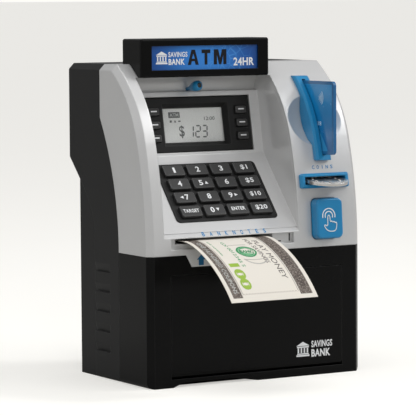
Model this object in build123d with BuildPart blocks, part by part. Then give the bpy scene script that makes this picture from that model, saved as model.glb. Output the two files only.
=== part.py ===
from build123d import *
import math
import os

os.makedirs("parts", exist_ok=True)

# Toy cash machine savings bank, in millimetres, +Z up. The origin is the middle of the base.
# Depths are counted back from the front face, and X from the middle of the body.

# Casing
body_width = 168.0
body_depth = 110.0
body_height = 214.0
wall = 2.4
corner_chamfer = 4.0
foot_radius = 3.5
seam_depth = 41.5
seam_gap = 0.4
lip_wall = 1.2
lip_reach = 2.5

# Rear of the casing: a raised side panel over a slimmer core
core_inset = 2.5
core_depth = 100.0
overhang_height = 149.5
step_depth = 75.0
step_height = 106.0
notch_count = 5
notch_pitch = 13.6
notch_first = 18.6
notch_height = 6.0
notch_cut = 1.5
notch_start = 54.0

# Silver hood: the arch leans back above the black front
hood_bottom = 88.0
arch_knee_depth = 10.5
arch_knee_height = 163.0
arch_shoulder_depth = 38.0
arch_shoulder_height = 206.0
arch_top_depth = 48.5
hood_top_depth = 66.4
hood_seam_height = 178.0

# Console bay and its silver lining
bay_center = -19.4
bay_width = 105.8
console_wall = 2.0
console_center = -17.6
slope_angle = 48.7
slope_foot_depth = 3.6
slope_foot_height = 103.5
slope_run = 38.4
screen_angle = 79.2
screen_foot_depth = 45.2
screen_foot_height = 151.4
screen_run = 43.8
cove_step = 3.6
cove_lip_depth = 46.0

# Header with its sign
header_center = -19.8
header_width = 101.0
header_bottom = 205.0
header_height = 26.0
header_front = 33.0
header_depth = 26.0
header_fillet = 1.5
header_wall = 2.5
sign_center = -19.8
sign_width = 84.0
sign_height = 16.2
sign_recess = 1.5
sign_thickness = 2.0

# Camera bead
camera_x = -20.5
camera_head_radius = 3.6
camera_length = 16.0
camera_depth = 43.5
camera_height = 198.6
camera_neck_radius = 1.2
camera_tilt = 11.0
lens_radius = 1.7

# Screen panel
screen_width = 87.0
screen_height = 37.8
screen_up = 21.2
screen_sink = 0.6
flange_wall = 1.2
flange_lip = 2.0
display_width = 46.8
display_height = 23.6
display_flare = 5.6
display_sink = 4.0
window_thickness = 1.0
lcd_thickness = 3.0
function_key_width = 8.4
function_key_height = 5.0
function_key_rise = 2.0
function_key_offset = 34.6
function_key_shift = 1.0
function_key_pitch = 9.1

# Keypad
keypad_width = 79.5
keypad_height = 49.0
keypad_up = 31.6
keypad_rise = 0.8
keypad_radius = 3.0
key_width = 15.4
key_height = 8.6
key_rise = 2.6
key_pitch_x = 18.4
key_pitch_y = 11.5
key_radius = 1.2
key_clearance = 0.35
key_flange = 0.9
key_flange_wall = 1.0
key_travel = 1.2
membrane_wall = 1.0
board_wall = 1.6
stack_gap = 0.15

# Banknote and its feed
note_width = 66.3
note_length = 156.0
note_thickness = 0.3
note_center = -24.3
note_height = 97.2
note_bend_reach = 10.0
note_bend_drop = 1.7
note_tip_reach = 61.0
note_tip_drop = 35.2
slot_center = -18.7
slot_recess_width = 96.2
slot_recess_height = 7.0
slot_recess_bottom = 92.0
slot_recess_depth = 3.0
slot_width = 76.0
slot_height = 3.7
slot_pad_depth = 6.0
tab_top_width = 73.6
tab_bottom_width = 65.0
tab_height = 8.0
tab_clearance = 0.3
guide_wall = 2.0
guide_length = 40.0
cheek_height = 20.0
cheek_depth = 15.0
roller_depth = 25.0
feed_radius = 5.0
pinch_radius = 4.0
roller_length = 60.0
shaft_radius = 1.5
shaft_clearance = 0.05
note_clearance = 0.1
gear_module = 1.0
gear_teeth = 24
pinion_teeth = 12
gear_width = 3.0
gear_backlash = 0.3
motor_radius = 8.0
motor_length = 8.0

# Coin and its way in
coin_radius = 15.3
coin_thickness = 2.15
coin_tilt = 8.0
coin_x = 55.7
coin_height = 133.0
coin_bezel_width = 39.2
coin_bezel_height = 10.0
coin_bezel_rise = 3.0
coin_slot_width = 33.0
coin_slot_height = 5.2
chute_wall = 1.5
chute_front = 12.0
chute_bottom = 90.0
chute_top = 147.0

# Bank card
card_x = 56.0
card_bottom = 151.0
card_height = 50.0
card_length = 80.0
card_thickness = 2.2
card_rim = 3.0
card_panel_sink = 0.3
card_radius = 3.0
card_proud = 10.6
card_bezel_width = 12.0
card_bezel_rise = 4.5
card_bezel_sink = 12.0
card_bezel_margin = 4.0
card_slot_clearance = 0.35
card_push = 5.0
pocket_wall = 1.5
scoop_radius = 20.0
scoop_depth = 7.5
scoop_height = 175.0
scoop_face_slope = 0.45
scoop_extra_lean = 6.0

# Touch button
button_x = 54.8
button_height = 107.2
button_width = 21.0
button_tall = 27.5
button_radius = 4.0
button_rise = 7.0
button_travel = 2.5
button_clearance = 0.4

# Cash door
door_center = 0.5
door_width = 135.0
door_bottom = 6.0
door_top = 74.5
door_wall = 2.4
door_gap = 0.4
barrel_radius = 3.0
hinge_pin_radius = 1.5
hinge_pin_length = 9.0
hinge_cheek = 3.0
latch_x = 45.0
latch_depth = 9.0
latch_radius = 2.0
latch_clearance = 0.1
keeper_width = 14.0
keeper_wall = 3.0
keeper_drop = 1.0
latch_ledge = 2.0
solenoid_size = 12.0
solenoid_height = 11.0

# Base notch under the door
base_notch_left = -66.0
base_notch_right = 0.0
base_notch_height = 3.2
base_notch_depth = 10.0
base_notch_lead = 8.0
base_notch_slope = 20.0

# Battery box, speaker and screws
battery_radius = 7.1
battery_length = 50.0
battery_count = 3
battery_pitch = 15.2
battery_bottom = 152.0
battery_wall = 3.0
contact_wall = 0.4
contact_gap = 1.6
speaker_radius = 18.0
speaker_depth = 9.0
speaker_height = 118.0
grille_count = 7
grille_pitch = 4.4
grille_slot = 1.8
screw_head_radius = 3.2
screw_head_height = 2.0
screw_radius = 1.5
screw_length = 14.0
screw_boss_radius = 4.5
screw_x = 70.0
screw_heights = (22.0, 122.0, 198.0)

front = -body_depth / 2
half_width = body_width / 2


def face_plane(depth=0.0):
    """Upright plane at a depth behind the front: local x is X, local y is Z, normal towards the user."""
    return Plane(origin=(0, front + depth, 0), x_dir=(1, 0, 0), z_dir=(0, -1, 0))


def side_plane(x=0.0):
    """Upright plane seen from the right: local x is the depth behind the front face, local y is Z."""
    return Plane(origin=(x, front, 0), x_dir=(0, 1, 0), z_dir=(1, 0, 0))


def floor_plane(z=0.0):
    """Level plane: local x is X, local y is the depth behind the front face."""
    return Plane(origin=(0, front, z), x_dir=(1, 0, 0), z_dir=(0, 0, 1))


def tilted_plane(x, depth, z, angle):
    """Plane through a point that rises at an angle from the floor as it goes back, facing the user."""
    lean = math.radians(angle)
    return Plane(
        origin=(x, front + depth, z),
        x_dir=(1, 0, 0),
        z_dir=(0, -math.sin(lean), math.cos(lean)),
    )


def block(x, depth, z):
    """Box between two corners, given as (low, high) pairs in X, depth and Z."""
    with BuildPart(mode=Mode.PRIVATE) as piece:
        with BuildSketch(floor_plane(z[0])):
            with Locations(((x[0] + x[1]) / 2, (depth[0] + depth[1]) / 2)):
                Rectangle(x[1] - x[0], depth[1] - depth[0])
        extrude(amount=z[1] - z[0])
    return piece.part


def top_edges(piece, plane):
    """Edges of a piece's last face along a plane's normal."""
    return piece.faces().sort_by(Axis(plane.origin, plane.z_dir))[-1].edges()


def save(piece, name):
    """Labels a finished piece and writes it."""
    piece.part.label = name
    export_step(piece.part, "parts/" + name + ".step")


# The arch bends gently up to a knee, then faster to the shoulder and the flat top.
arch_radius = ((arch_knee_height - hood_bottom) ** 2 + arch_knee_depth**2) / (2 * arch_knee_depth)


def arch_lean(z):
    """Angle of the lower arch from upright, at a height."""
    return math.degrees(math.asin((z - hood_bottom) / arch_radius))


def arch_depth(z):
    """Depth of the lower arch's face at a height."""
    return arch_radius * (1 - math.cos(math.radians(arch_lean(z))))


def pillar_plane(x, z):
    """Plane that lies on the lower arch at a height."""
    return tilted_plane(x, arch_depth(z), z, 90 - arch_lean(z))


def arch_line(shift=0.0):
    """The three arcs of the arch, moved back by a shift."""
    lower = TangentArc(
        (shift, hood_bottom), (arch_knee_depth + shift, arch_knee_height), tangent=(0, 1)
    )
    middle = TangentArc(
        lower @ 1, (arch_shoulder_depth + shift, arch_shoulder_height), tangent=lower % 1
    )
    upper = TangentArc(middle @ 1, (arch_top_depth + shift, body_height), tangent=middle % 1)
    return upper


def behind_arch(shift, half, bottom, top):
    """Solid behind the arch moved back by a shift, between two heights and within a half width."""
    with BuildPart(mode=Mode.PRIVATE) as region:
        with BuildSketch(side_plane()):
            with BuildLine():
                Line((shift, 0), (shift, hood_bottom))
                end = arch_line(shift)
                Line(end @ 1, (body_depth + shift, body_height))
                Line((body_depth + shift, body_height), (body_depth + shift, 0))
                Line((body_depth + shift, 0), (shift, 0))
            make_face()
        extrude(amount=half, both=True)
        add(block((-half, half), (shift - 1, body_depth + shift + 1), (bottom, top)), mode=Mode.INTERSECT)
    return region.part


def casing(inset=0.0):
    """Outer form of the closed body, drawn in by an inset."""
    half = half_width - inset
    chamfer_size = corner_chamfer - inset * (2 - math.sqrt(2))
    under_depth = core_depth - core_inset * 2
    with BuildPart(mode=Mode.PRIVATE) as form:
        with BuildSketch(side_plane()):
            with BuildLine():
                Line((0, 0), (0, hood_bottom))
                end = arch_line()
                Line(end @ 1, (body_depth, body_height))
                Line((body_depth, body_height), (body_depth, overhang_height))
                under = Line(
                    (body_depth, overhang_height),
                    (under_depth, overhang_height - body_depth + under_depth),
                )
                TangentArc(under @ 1, (step_depth, step_height), tangent=under % 1)
                Line((step_depth, step_height), (step_depth, 0))
                Line((step_depth, 0), (0, 0))
            make_face()
            if inset:
                offset(amount=-inset, kind=Kind.INTERSECTION)
        extrude(amount=half, both=True)
        front_edges = form.edges().filter_by(
            lambda e: abs(abs(e.center().X) - half) < 0.01
            and e.center().Z > inset + 1
            and (e.center().Y < front + arch_top_depth or e.center().Z > body_height - inset - 0.5)
        )
        chamfer(front_edges, length=chamfer_size)
        core_top = overhang_height - body_depth + core_depth
        add(
            block(
                (-half + core_inset, half - core_inset),
                (seam_depth, core_depth - inset),
                (inset, core_top + inset * (1 - math.sqrt(2))),
            )
        )
        with BuildSketch(face_plane()):
            with Locations((0, inset)):
                Rectangle(2 * half, body_height, align=(Align.CENTER, Align.MIN))
            foot_corners = vertices().group_by(Axis.Z)[0]
            fillet(foot_corners, radius=foot_radius)
        extrude(amount=-body_depth, mode=Mode.INTERSECT)
    return form.part


def behind_seam(shift=0.0):
    """Solid behind the seam between the front and rear shells, moved back by a shift."""
    with BuildPart(mode=Mode.PRIVATE) as region:
        with BuildSketch(side_plane()):
            with BuildLine():
                Line((seam_depth + shift, -1), (seam_depth + shift, hood_bottom))
                curve = TangentArc(
                    (seam_depth + shift, hood_bottom),
                    (hood_top_depth + shift, hood_seam_height),
                    tangent=(0, 1),
                )
                Line(curve @ 1, (hood_top_depth + shift, body_height + 1))
                Line((hood_top_depth + shift, body_height + 1), (2 * body_depth, body_height + 1))
                Line((2 * body_depth, body_height + 1), (2 * body_depth, -1))
                Line((2 * body_depth, -1), (seam_depth + shift, -1))
            make_face()
        extrude(amount=body_width, both=True)
    return region.part


casing_outer = casing()
casing_inner = casing(wall)
casing_lip = casing(wall + lip_wall)

# Console bay: one profile cuts the hood and shapes the lining.
slope_lean = math.radians(slope_angle)
screen_lean = math.radians(screen_angle)
slope_top_depth = slope_foot_depth + slope_run
slope_top_height = slope_foot_height + slope_run * math.tan(slope_lean)
screen_top_depth = screen_foot_depth + screen_run * math.cos(screen_lean)
screen_top_height = screen_foot_height + screen_run * math.sin(screen_lean)
bay_reach = 20.0


def bay(grow=0.0):
    """The open space of the console bay, grown by a wall."""
    with BuildPart(mode=Mode.PRIVATE) as space:
        with BuildSketch(side_plane(bay_center)):
            with BuildLine():
                start_height = slope_foot_height - (bay_reach + slope_foot_depth) * math.tan(slope_lean)
                start = (-bay_reach, start_height)
                Polyline(
                    start,
                    (slope_top_depth, slope_top_height),
                    (screen_foot_depth, screen_foot_height),
                    (screen_top_depth, screen_top_height),
                    (screen_top_depth + cove_step, screen_top_height + 0.3),
                )
                cove = ThreePointArc(
                    (screen_top_depth + cove_step, screen_top_height + 0.3),
                    (screen_top_depth + cove_step - 1.6, screen_top_height + 6.4),
                    (cove_lip_depth, header_bottom),
                )
                Line(cove @ 1, (-bay_reach, header_bottom))
                Line((-bay_reach, header_bottom), start)
            make_face()
            if grow:
                offset(amount=grow, kind=Kind.INTERSECTION)
        extrude(amount=bay_width / 2 + grow, both=True)
    return space.part


bay_space = bay()

# Planes of the two console panels, through the middle of each panel
keypad_plane = tilted_plane(
    console_center,
    slope_foot_depth + keypad_up * math.cos(slope_lean),
    slope_foot_height + keypad_up * math.sin(slope_lean),
    slope_angle,
)
screen_plane = tilted_plane(
    console_center,
    screen_foot_depth + screen_up * math.cos(screen_lean),
    screen_foot_height + screen_up * math.sin(screen_lean),
    screen_angle,
)

header_box = block(
    (header_center - header_width / 2, header_center + header_width / 2),
    (header_front, header_front + header_depth),
    (header_bottom, header_bottom + header_height),
)

# Card slot bezel envelope, which also cuts the hood
card_bezel_bottom = card_bottom - card_bezel_margin
card_bezel_top = card_bottom + card_height + card_bezel_margin - 1
with BuildPart() as card_bezel_form:
    add(behind_arch(-card_bezel_rise, half_width, card_bezel_bottom, card_bezel_top))
    add(behind_arch(card_bezel_sink, half_width, 0, body_height), mode=Mode.SUBTRACT)
    add(
        block(
            (card_x - card_bezel_width / 2, card_x + card_bezel_width / 2),
            (-20, body_depth),
            (card_bezel_bottom, card_bezel_top),
        ),
        mode=Mode.INTERSECT,
    )

# Thumb scoop: a dish centred on the card slot
scoop_ball = (scoop_radius**2 + scoop_depth**2) / (2 * scoop_depth)
scoop_face_depth = arch_knee_depth + (scoop_height - arch_knee_height) * scoop_face_slope
scoop_lean = math.radians(arch_lean(arch_knee_height) + scoop_extra_lean)
scoop_center = (
    card_x,
    front + scoop_face_depth - (scoop_ball - scoop_depth) * math.cos(scoop_lean),
    scoop_height + (scoop_ball - scoop_depth) * math.sin(scoop_lean),
)

coin_plane = pillar_plane(coin_x, coin_height)
button_plane = pillar_plane(button_x, button_height)

# ---- Front frame: the silver hood ----
slot_recess_center = slot_recess_bottom + slot_recess_height / 2
slot_pad = block(
    (slot_center - slot_recess_width / 2 - wall, slot_center + slot_recess_width / 2 + wall),
    (wall / 2, slot_pad_depth),
    (slot_recess_bottom - wall, slot_recess_bottom + slot_recess_height + wall),
)
with BuildPart() as scoop_dish:
    with Locations(scoop_center):
        Sphere(scoop_ball + wall)
    add(behind_arch(wall / 2, half_width, hood_bottom, body_height), mode=Mode.INTERSECT)
    add(bay(console_wall), mode=Mode.SUBTRACT)

with BuildPart() as front_frame:
    add(casing_outer)
    add(casing_inner, mode=Mode.SUBTRACT)
    add(behind_seam(-seam_gap), mode=Mode.SUBTRACT)
    add(block((-half_width, half_width), (-1, body_depth), (-1, hood_bottom)), mode=Mode.SUBTRACT)
    add(scoop_dish.part)
    with Locations(scoop_center):
        Sphere(scoop_ball, mode=Mode.SUBTRACT)
    add(slot_pad)
    with BuildSketch(face_plane()):
        with BuildLine():
            Polyline(
                (slot_center - tab_top_width / 2, hood_bottom + 1),
                (slot_center - tab_top_width / 2, hood_bottom),
                (slot_center - tab_bottom_width / 2, hood_bottom - tab_height),
                (slot_center + tab_bottom_width / 2, hood_bottom - tab_height),
                (slot_center + tab_top_width / 2, hood_bottom),
                (slot_center + tab_top_width / 2, hood_bottom + 1),
                close=True,
            )
        make_face()
    extrude(amount=-wall)
    add(bay_space, mode=Mode.SUBTRACT)
    add(header_box, mode=Mode.SUBTRACT)
    add(
        block(
            (header_center - header_width / 2, header_center + header_width / 2),
            (-1, header_front + 1),
            (header_bottom, body_height + 1),
        ),
        mode=Mode.SUBTRACT,
    )
    with BuildSketch(face_plane()):
        with Locations((slot_center, slot_recess_center)):
            Rectangle(slot_recess_width, slot_recess_height)
    extrude(amount=-slot_recess_depth, mode=Mode.SUBTRACT)
    with BuildSketch(face_plane()):
        with Locations((note_center, note_height)):
            Rectangle(slot_width, slot_height)
    extrude(amount=-slot_pad_depth - 1, mode=Mode.SUBTRACT)
    with BuildSketch(coin_plane):
        RectangleRounded(coin_bezel_width - 2, coin_bezel_height - 2, 1)
    extrude(amount=5, both=True, mode=Mode.SUBTRACT)
    with BuildSketch(button_plane):
        RectangleRounded(
            button_width + 2 * button_clearance,
            button_tall + 2 * button_clearance,
            button_radius,
        )
    extrude(amount=5, both=True, mode=Mode.SUBTRACT)
    add(card_bezel_form.part, mode=Mode.SUBTRACT)
save(front_frame, "front_frame")

# ---- Lower front shell: the black front and its sides ----
hinge_depth = barrel_radius
hinge_height = door_bottom + barrel_radius
door_left = door_center - door_width / 2
door_right = door_center + door_width / 2
ledge_bottom = door_top + door_gap + 1.0
tab_cut_bottom = hood_bottom - tab_height - tab_clearance
with BuildPart() as lower_front_shell:
    add(casing_outer)
    add(casing_inner, mode=Mode.SUBTRACT)
    add(
        block((-half_width, half_width), (-1, seam_depth - seam_gap), (-1, hood_bottom)),
        mode=Mode.INTERSECT,
    )
    add(
        block(
            (base_notch_left - wall, base_notch_right + wall),
            (wall / 2, base_notch_depth + wall),
            (wall / 2, base_notch_height + wall),
        )
    )
    add(
        block(
            (latch_x - solenoid_size / 2 - 1, latch_x + solenoid_size / 2 + 1),
            (wall / 2, latch_depth + solenoid_size / 2),
            (ledge_bottom, ledge_bottom + latch_ledge),
        )
    )
    for cheek in ((door_left - door_gap - hinge_cheek, door_left - door_gap),
                  (door_right + door_gap, door_right + door_gap + hinge_cheek)):
        cheek_back = 2 * barrel_radius + wall
        add(block(cheek, (wall / 2, cheek_back), (wall / 2, hinge_height + 2 * barrel_radius)))
    add(
        block(
            (door_left - door_gap, door_right + door_gap),
            (-1, wall + 0.1),
            (door_bottom - door_gap, door_top + door_gap),
        ),
        mode=Mode.SUBTRACT,
    )
    add(
        block(
            (door_left - door_gap, door_right + door_gap),
            (-1, 2 * barrel_radius + door_gap),
            (door_bottom - door_gap, hinge_height + barrel_radius + door_gap),
        ),
        mode=Mode.SUBTRACT,
    )
    with BuildSketch(face_plane()):
        with BuildLine():
            Polyline(
                (base_notch_left, 0),
                (base_notch_left + base_notch_lead, base_notch_height),
                (base_notch_right - base_notch_slope, base_notch_height),
                (base_notch_right, 0),
                close=True,
            )
        make_face()
    extrude(amount=-base_notch_depth, mode=Mode.SUBTRACT)
    with BuildSketch(face_plane()):
        with BuildLine():
            Polyline(
                (slot_center - tab_top_width / 2 - tab_clearance, hood_bottom + 1),
                (slot_center - tab_top_width / 2 - tab_clearance, hood_bottom),
                (slot_center - tab_bottom_width / 2 - tab_clearance, tab_cut_bottom),
                (slot_center + tab_bottom_width / 2 + tab_clearance, tab_cut_bottom),
                (slot_center + tab_top_width / 2 + tab_clearance, hood_bottom),
                (slot_center + tab_top_width / 2 + tab_clearance, hood_bottom + 1),
                close=True,
            )
        make_face()
    extrude(amount=-wall, mode=Mode.SUBTRACT)
    with BuildSketch(side_plane(door_left - door_gap - hinge_cheek)):
        with Locations((hinge_depth, hinge_height)):
            Circle(hinge_pin_radius + shaft_clearance)
    extrude(amount=door_width + 2 * door_gap + 2 * hinge_cheek, mode=Mode.SUBTRACT)
    with BuildSketch(floor_plane(ledge_bottom)):
        with Locations((latch_x, latch_depth)):
            Circle(latch_radius + latch_clearance)
    extrude(amount=latch_ledge, mode=Mode.SUBTRACT)
save(lower_front_shell, "lower_front_shell")

# ---- Rear shell: the satin back and sides ----
battery_row = battery_count * battery_pitch
battery_box_half = battery_row / 2 + battery_wall
battery_cavity_depth = 2 * battery_radius + 1.0
battery_cavity_front = body_depth - wall - battery_cavity_depth
battery_top = battery_bottom + battery_length + 2 * (contact_wall + contact_gap)
cover_lip = 1.8
with BuildPart() as seam_lip:
    add(casing_inner)
    add(casing_lip, mode=Mode.SUBTRACT)
    add(behind_seam(-lip_reach), mode=Mode.INTERSECT)
    add(behind_seam(lip_reach), mode=Mode.SUBTRACT)

with BuildPart() as rear_shell:
    add(casing_outer)
    add(casing_inner, mode=Mode.SUBTRACT)
    add(behind_seam(), mode=Mode.INTERSECT)
    add(seam_lip.part)
    for row in range(notch_count):
        foot = notch_first + row * notch_pitch
        for side in (-1, 1):
            with BuildSketch(face_plane(notch_start)):
                with BuildLine():
                    Polyline(
                        (side * (half_width + 1), foot + notch_height + 4),
                        (side * (half_width + 1), foot),
                        (side * (half_width - notch_cut), foot),
                        (side * half_width, foot + notch_height),
                        close=True,
                    )
                make_face()
            extrude(amount=notch_start - step_depth - 1, mode=Mode.SUBTRACT)
    add(
        block(
            (-battery_box_half, battery_box_half),
            (battery_cavity_front - battery_wall, body_depth - wall / 2),
            (battery_bottom - battery_wall, battery_top + battery_wall),
        )
    )
    add(
        block(
            (-battery_row / 2, battery_row / 2),
            (battery_cavity_front, body_depth + 1),
            (battery_bottom, battery_top),
        ),
        mode=Mode.SUBTRACT,
    )
    add(
        block(
            (-battery_row / 2 - cover_lip, battery_row / 2 + cover_lip),
            (body_depth - wall, body_depth + 1),
            (battery_bottom - cover_lip, battery_top + cover_lip),
        ),
        mode=Mode.SUBTRACT,
    )
    for height in screw_heights:
        rear_face = core_depth if height < overhang_height else body_depth
        for side in (-1, 1):
            with BuildSketch(face_plane(rear_face - wall / 2)):
                with Locations((side * screw_x, height)):
                    Circle(screw_boss_radius)
            extrude(amount=screw_length)
            with BuildSketch(face_plane(rear_face)):
                with Locations((side * screw_x, height)):
                    Circle(screw_head_radius)
            extrude(amount=screw_head_height, mode=Mode.SUBTRACT)
            with BuildSketch(face_plane(rear_face)):
                with Locations((side * screw_x, height)):
                    Circle(screw_radius)
            extrude(amount=screw_head_height + screw_length, mode=Mode.SUBTRACT)
    for row in range(grille_count):
        with BuildSketch(face_plane(core_depth)):
            with Locations((0, speaker_height + (row - (grille_count - 1) / 2) * grille_pitch)):
                SlotOverall(speaker_radius * 1.5, grille_slot)
        extrude(amount=wall + 1, mode=Mode.SUBTRACT)
save(rear_shell, "rear_shell")

# Camera bead: a drop on a short neck that comes out of the cove
camera_lean = math.radians(camera_tilt)
camera_plane = Plane(
    origin=(camera_x, front + camera_depth, camera_height),
    x_dir=(0, -math.cos(camera_lean), math.sin(camera_lean)),
    z_dir=(1, 0, 0),
)
with BuildPart() as camera_form:
    with BuildSketch(camera_plane):
        with BuildLine():
            nose = ThreePointArc(
                (camera_head_radius, 0),
                (camera_head_radius * math.sqrt(0.5), camera_head_radius * math.sqrt(0.5)),
                (0, camera_head_radius),
            )
            tail = Spline(
                (0, camera_head_radius),
                (-camera_length * 0.7, camera_neck_radius * 1.1),
                (-camera_length, camera_neck_radius),
                tangents=((-1, 0), (-1, 0)),
            )
            Line(tail @ 1, (-camera_length, 0))
            Line((-camera_length, 0), (camera_head_radius, 0))
        make_face()
    revolve(axis=Axis(camera_plane.origin, camera_plane.x_dir))

# ---- Console panel: the lining of the bay ----
with BuildPart() as console_panel:
    add(bay(console_wall))
    add(bay_space, mode=Mode.SUBTRACT)
    add(casing_inner, mode=Mode.INTERSECT)
    add(header_box, mode=Mode.SUBTRACT)
    add(
        block(
            (-half_width, half_width),
            (-1, header_front + 1),
            (header_bottom, body_height),
        ),
        mode=Mode.SUBTRACT,
    )
    with BuildSketch(screen_plane):
        Rectangle(screen_width + 2 * key_clearance, screen_height + 2 * key_clearance)
    extrude(amount=2 * console_wall, both=True, mode=Mode.SUBTRACT)
    with BuildSketch(keypad_plane):
        RectangleRounded(keypad_width - 3, keypad_height - 3, keypad_radius)
    extrude(amount=2 * console_wall, both=True, mode=Mode.SUBTRACT)
    add(camera_form.part, mode=Mode.SUBTRACT)
    add(slot_pad, mode=Mode.SUBTRACT)
save(console_panel, "console_panel")

with BuildPart() as camera_housing:
    add(camera_form.part)
    with BuildSketch(face_plane(camera_depth - camera_head_radius + lens_radius)):
        with Locations((camera_x, camera_height + 0.4)):
            Circle(lens_radius)
    extrude(amount=camera_head_radius, mode=Mode.SUBTRACT)
save(camera_housing, "camera_housing")

with BuildPart() as camera_lens:
    with BuildSketch(face_plane(camera_depth - camera_head_radius + lens_radius)):
        with Locations((camera_x, camera_height + 0.4)):
            Circle(lens_radius)
    extrude(amount=lens_radius)
    fillet(camera_lens.edges().group_by(Axis.Y)[0], radius=lens_radius * 0.5)
save(camera_lens, "camera_lens")

# ---- Header and sign ----
sign_height_center = header_bottom + header_height / 2
with BuildPart() as header_housing:
    add(header_box)
    fillet(header_housing.edges().filter_by(Axis.Z), radius=header_fillet)
    fillet(header_housing.edges().group_by(Axis.Z)[-1], radius=header_fillet)
    fillet(header_housing.edges().group_by(Axis.Y)[0].filter_by(Axis.X)[0], radius=header_fillet)
    with BuildSketch(face_plane(header_front)):
        with Locations((sign_center, sign_height_center)):
            Rectangle(sign_width, sign_height)
    extrude(amount=-sign_recess - sign_thickness, mode=Mode.SUBTRACT)
    with BuildSketch(face_plane(header_front)):
        with Locations((sign_center, sign_height_center)):
            Rectangle(sign_width - 2 * header_wall, sign_height - 2 * header_wall)
    extrude(amount=header_wall - header_depth, mode=Mode.SUBTRACT)
save(header_housing, "header_housing")

with BuildPart() as sign_panel:
    with BuildSketch(face_plane(header_front + sign_recess + sign_thickness)):
        with Locations((sign_center, sign_height_center)):
            Rectangle(sign_width, sign_height)
    extrude(amount=sign_thickness)
save(sign_panel, "sign_panel")

# ---- Screen ----
screen_back = console_wall + flange_wall
window_depth = screen_sink + display_sink
funnel_width = display_width + display_flare + 3
funnel_height = display_height + display_flare + 3
with BuildPart() as screen_bezel:
    with BuildSketch(screen_plane.offset(-screen_back)):
        Rectangle(screen_width + 2 * flange_lip, screen_height + 2 * flange_lip)
    extrude(amount=flange_wall)
    with BuildSketch(screen_plane.offset(-screen_back)):
        Rectangle(screen_width, screen_height)
    extrude(amount=screen_back - screen_sink)
    chamfer(top_edges(screen_bezel, screen_plane), length=0.5)
    with BuildSketch(screen_plane.offset(-window_depth - window_thickness)):
        Rectangle(funnel_width, funnel_height)
    extrude(amount=window_depth + window_thickness - console_wall)
    with BuildSketch(screen_plane.offset(-screen_sink)):
        Rectangle(display_width + display_flare, display_height + display_flare)
    with BuildSketch(screen_plane.offset(-window_depth)):
        Rectangle(display_width, display_height)
    loft(mode=Mode.SUBTRACT)
    with BuildSketch(screen_plane.offset(-window_depth - window_thickness)):
        Rectangle(display_width + 2, display_height + 2)
    extrude(amount=window_thickness, mode=Mode.SUBTRACT)
    with BuildSketch(screen_plane):
        with Locations((function_key_shift, 0)):
            with GridLocations(2 * function_key_offset, function_key_pitch, 2, 3):
                Rectangle(function_key_width + 2 * key_clearance, function_key_height + 2 * key_clearance)
    extrude(amount=-2 * screen_back, mode=Mode.SUBTRACT)
save(screen_bezel, "screen_bezel")

with BuildPart() as screen_window:
    with BuildSketch(screen_plane.offset(-window_depth - window_thickness)):
        Rectangle(display_width + 2, display_height + 2)
    extrude(amount=window_thickness)
save(screen_window, "screen_window")

lcd_depth = window_depth + window_thickness + lcd_thickness
with BuildPart() as lcd_module:
    with BuildSketch(screen_plane.offset(-lcd_depth)):
        Rectangle(display_width + 5, display_height + 5)
    extrude(amount=lcd_thickness)
save(lcd_module, "lcd_module")


def make_key(name, plane, place, size, rise, back, radius):
    """A key on a panel: a domed cap through the panel with a flange behind it."""
    flange_back = back + stack_gap + key_flange_wall
    with BuildPart() as key:
        with BuildSketch(plane.offset(-flange_back)):
            with Locations(place):
                Rectangle(size[0] + 2 * key_flange, size[1] + 2 * key_flange)
        extrude(amount=key_flange_wall)
        with BuildSketch(plane.offset(-flange_back)):
            with Locations(place):
                RectangleRounded(size[0], size[1], radius)
        extrude(amount=flange_back + rise)
        fillet(top_edges(key, plane), radius=radius * 0.45)
    save(key, name)


for number in range(6):
    side = -1 if number < 3 else 1
    make_key(
        f"function_key_{number + 1}",
        screen_plane,
        (function_key_shift + side * function_key_offset, (1 - number % 3) * function_key_pitch),
        (function_key_width, function_key_height),
        function_key_rise - screen_sink,
        screen_back,
        key_radius,
    )

# ---- Keypad ----
with BuildPart() as keypad_bezel:
    with BuildSketch(keypad_plane):
        RectangleRounded(keypad_width, keypad_height, keypad_radius)
    extrude(amount=keypad_rise)
    chamfer(top_edges(keypad_bezel, keypad_plane), length=keypad_rise / 2)
    with BuildSketch(keypad_plane.offset(-console_wall)):
        RectangleRounded(keypad_width - 3, keypad_height - 3, keypad_radius)
    extrude(amount=console_wall)
    with BuildSketch(keypad_plane.offset(keypad_rise)):
        with GridLocations(key_pitch_x, key_pitch_y, 4, 4):
            RectangleRounded(key_width + 2 * key_clearance, key_height + 2 * key_clearance, key_radius)
    extrude(amount=-keypad_rise - console_wall, mode=Mode.SUBTRACT)
save(keypad_bezel, "keypad_bezel")

key_names = (
    ("key_1", "key_2", "key_3", "key_add_1"),
    ("key_4", "key_5_up", "key_6", "key_add_5"),
    ("key_7_left", "key_8", "key_9_right", "key_add_10"),
    ("key_target", "key_0_down", "key_enter", "key_add_20"),
)
for row in range(4):
    for column in range(4):
        make_key(
            key_names[row][column],
            keypad_plane,
            ((column - 1.5) * key_pitch_x, (1.5 - row) * key_pitch_y),
            (key_width, key_height),
            keypad_rise + key_rise,
            console_wall,
            key_radius,
        )

membrane_back = console_wall + 2 * stack_gap + key_flange_wall + key_travel + membrane_wall
with BuildPart() as key_membrane:
    with BuildSketch(keypad_plane.offset(-membrane_back)):
        Rectangle(keypad_width - 5, keypad_height - 5)
    extrude(amount=membrane_wall)
save(key_membrane, "key_membrane")

with BuildPart() as main_board:
    with BuildSketch(keypad_plane.offset(-membrane_back - board_wall)):
        Rectangle(keypad_width - 3, keypad_height - 3)
    extrude(amount=board_wall)
save(main_board, "main_board")

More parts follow.
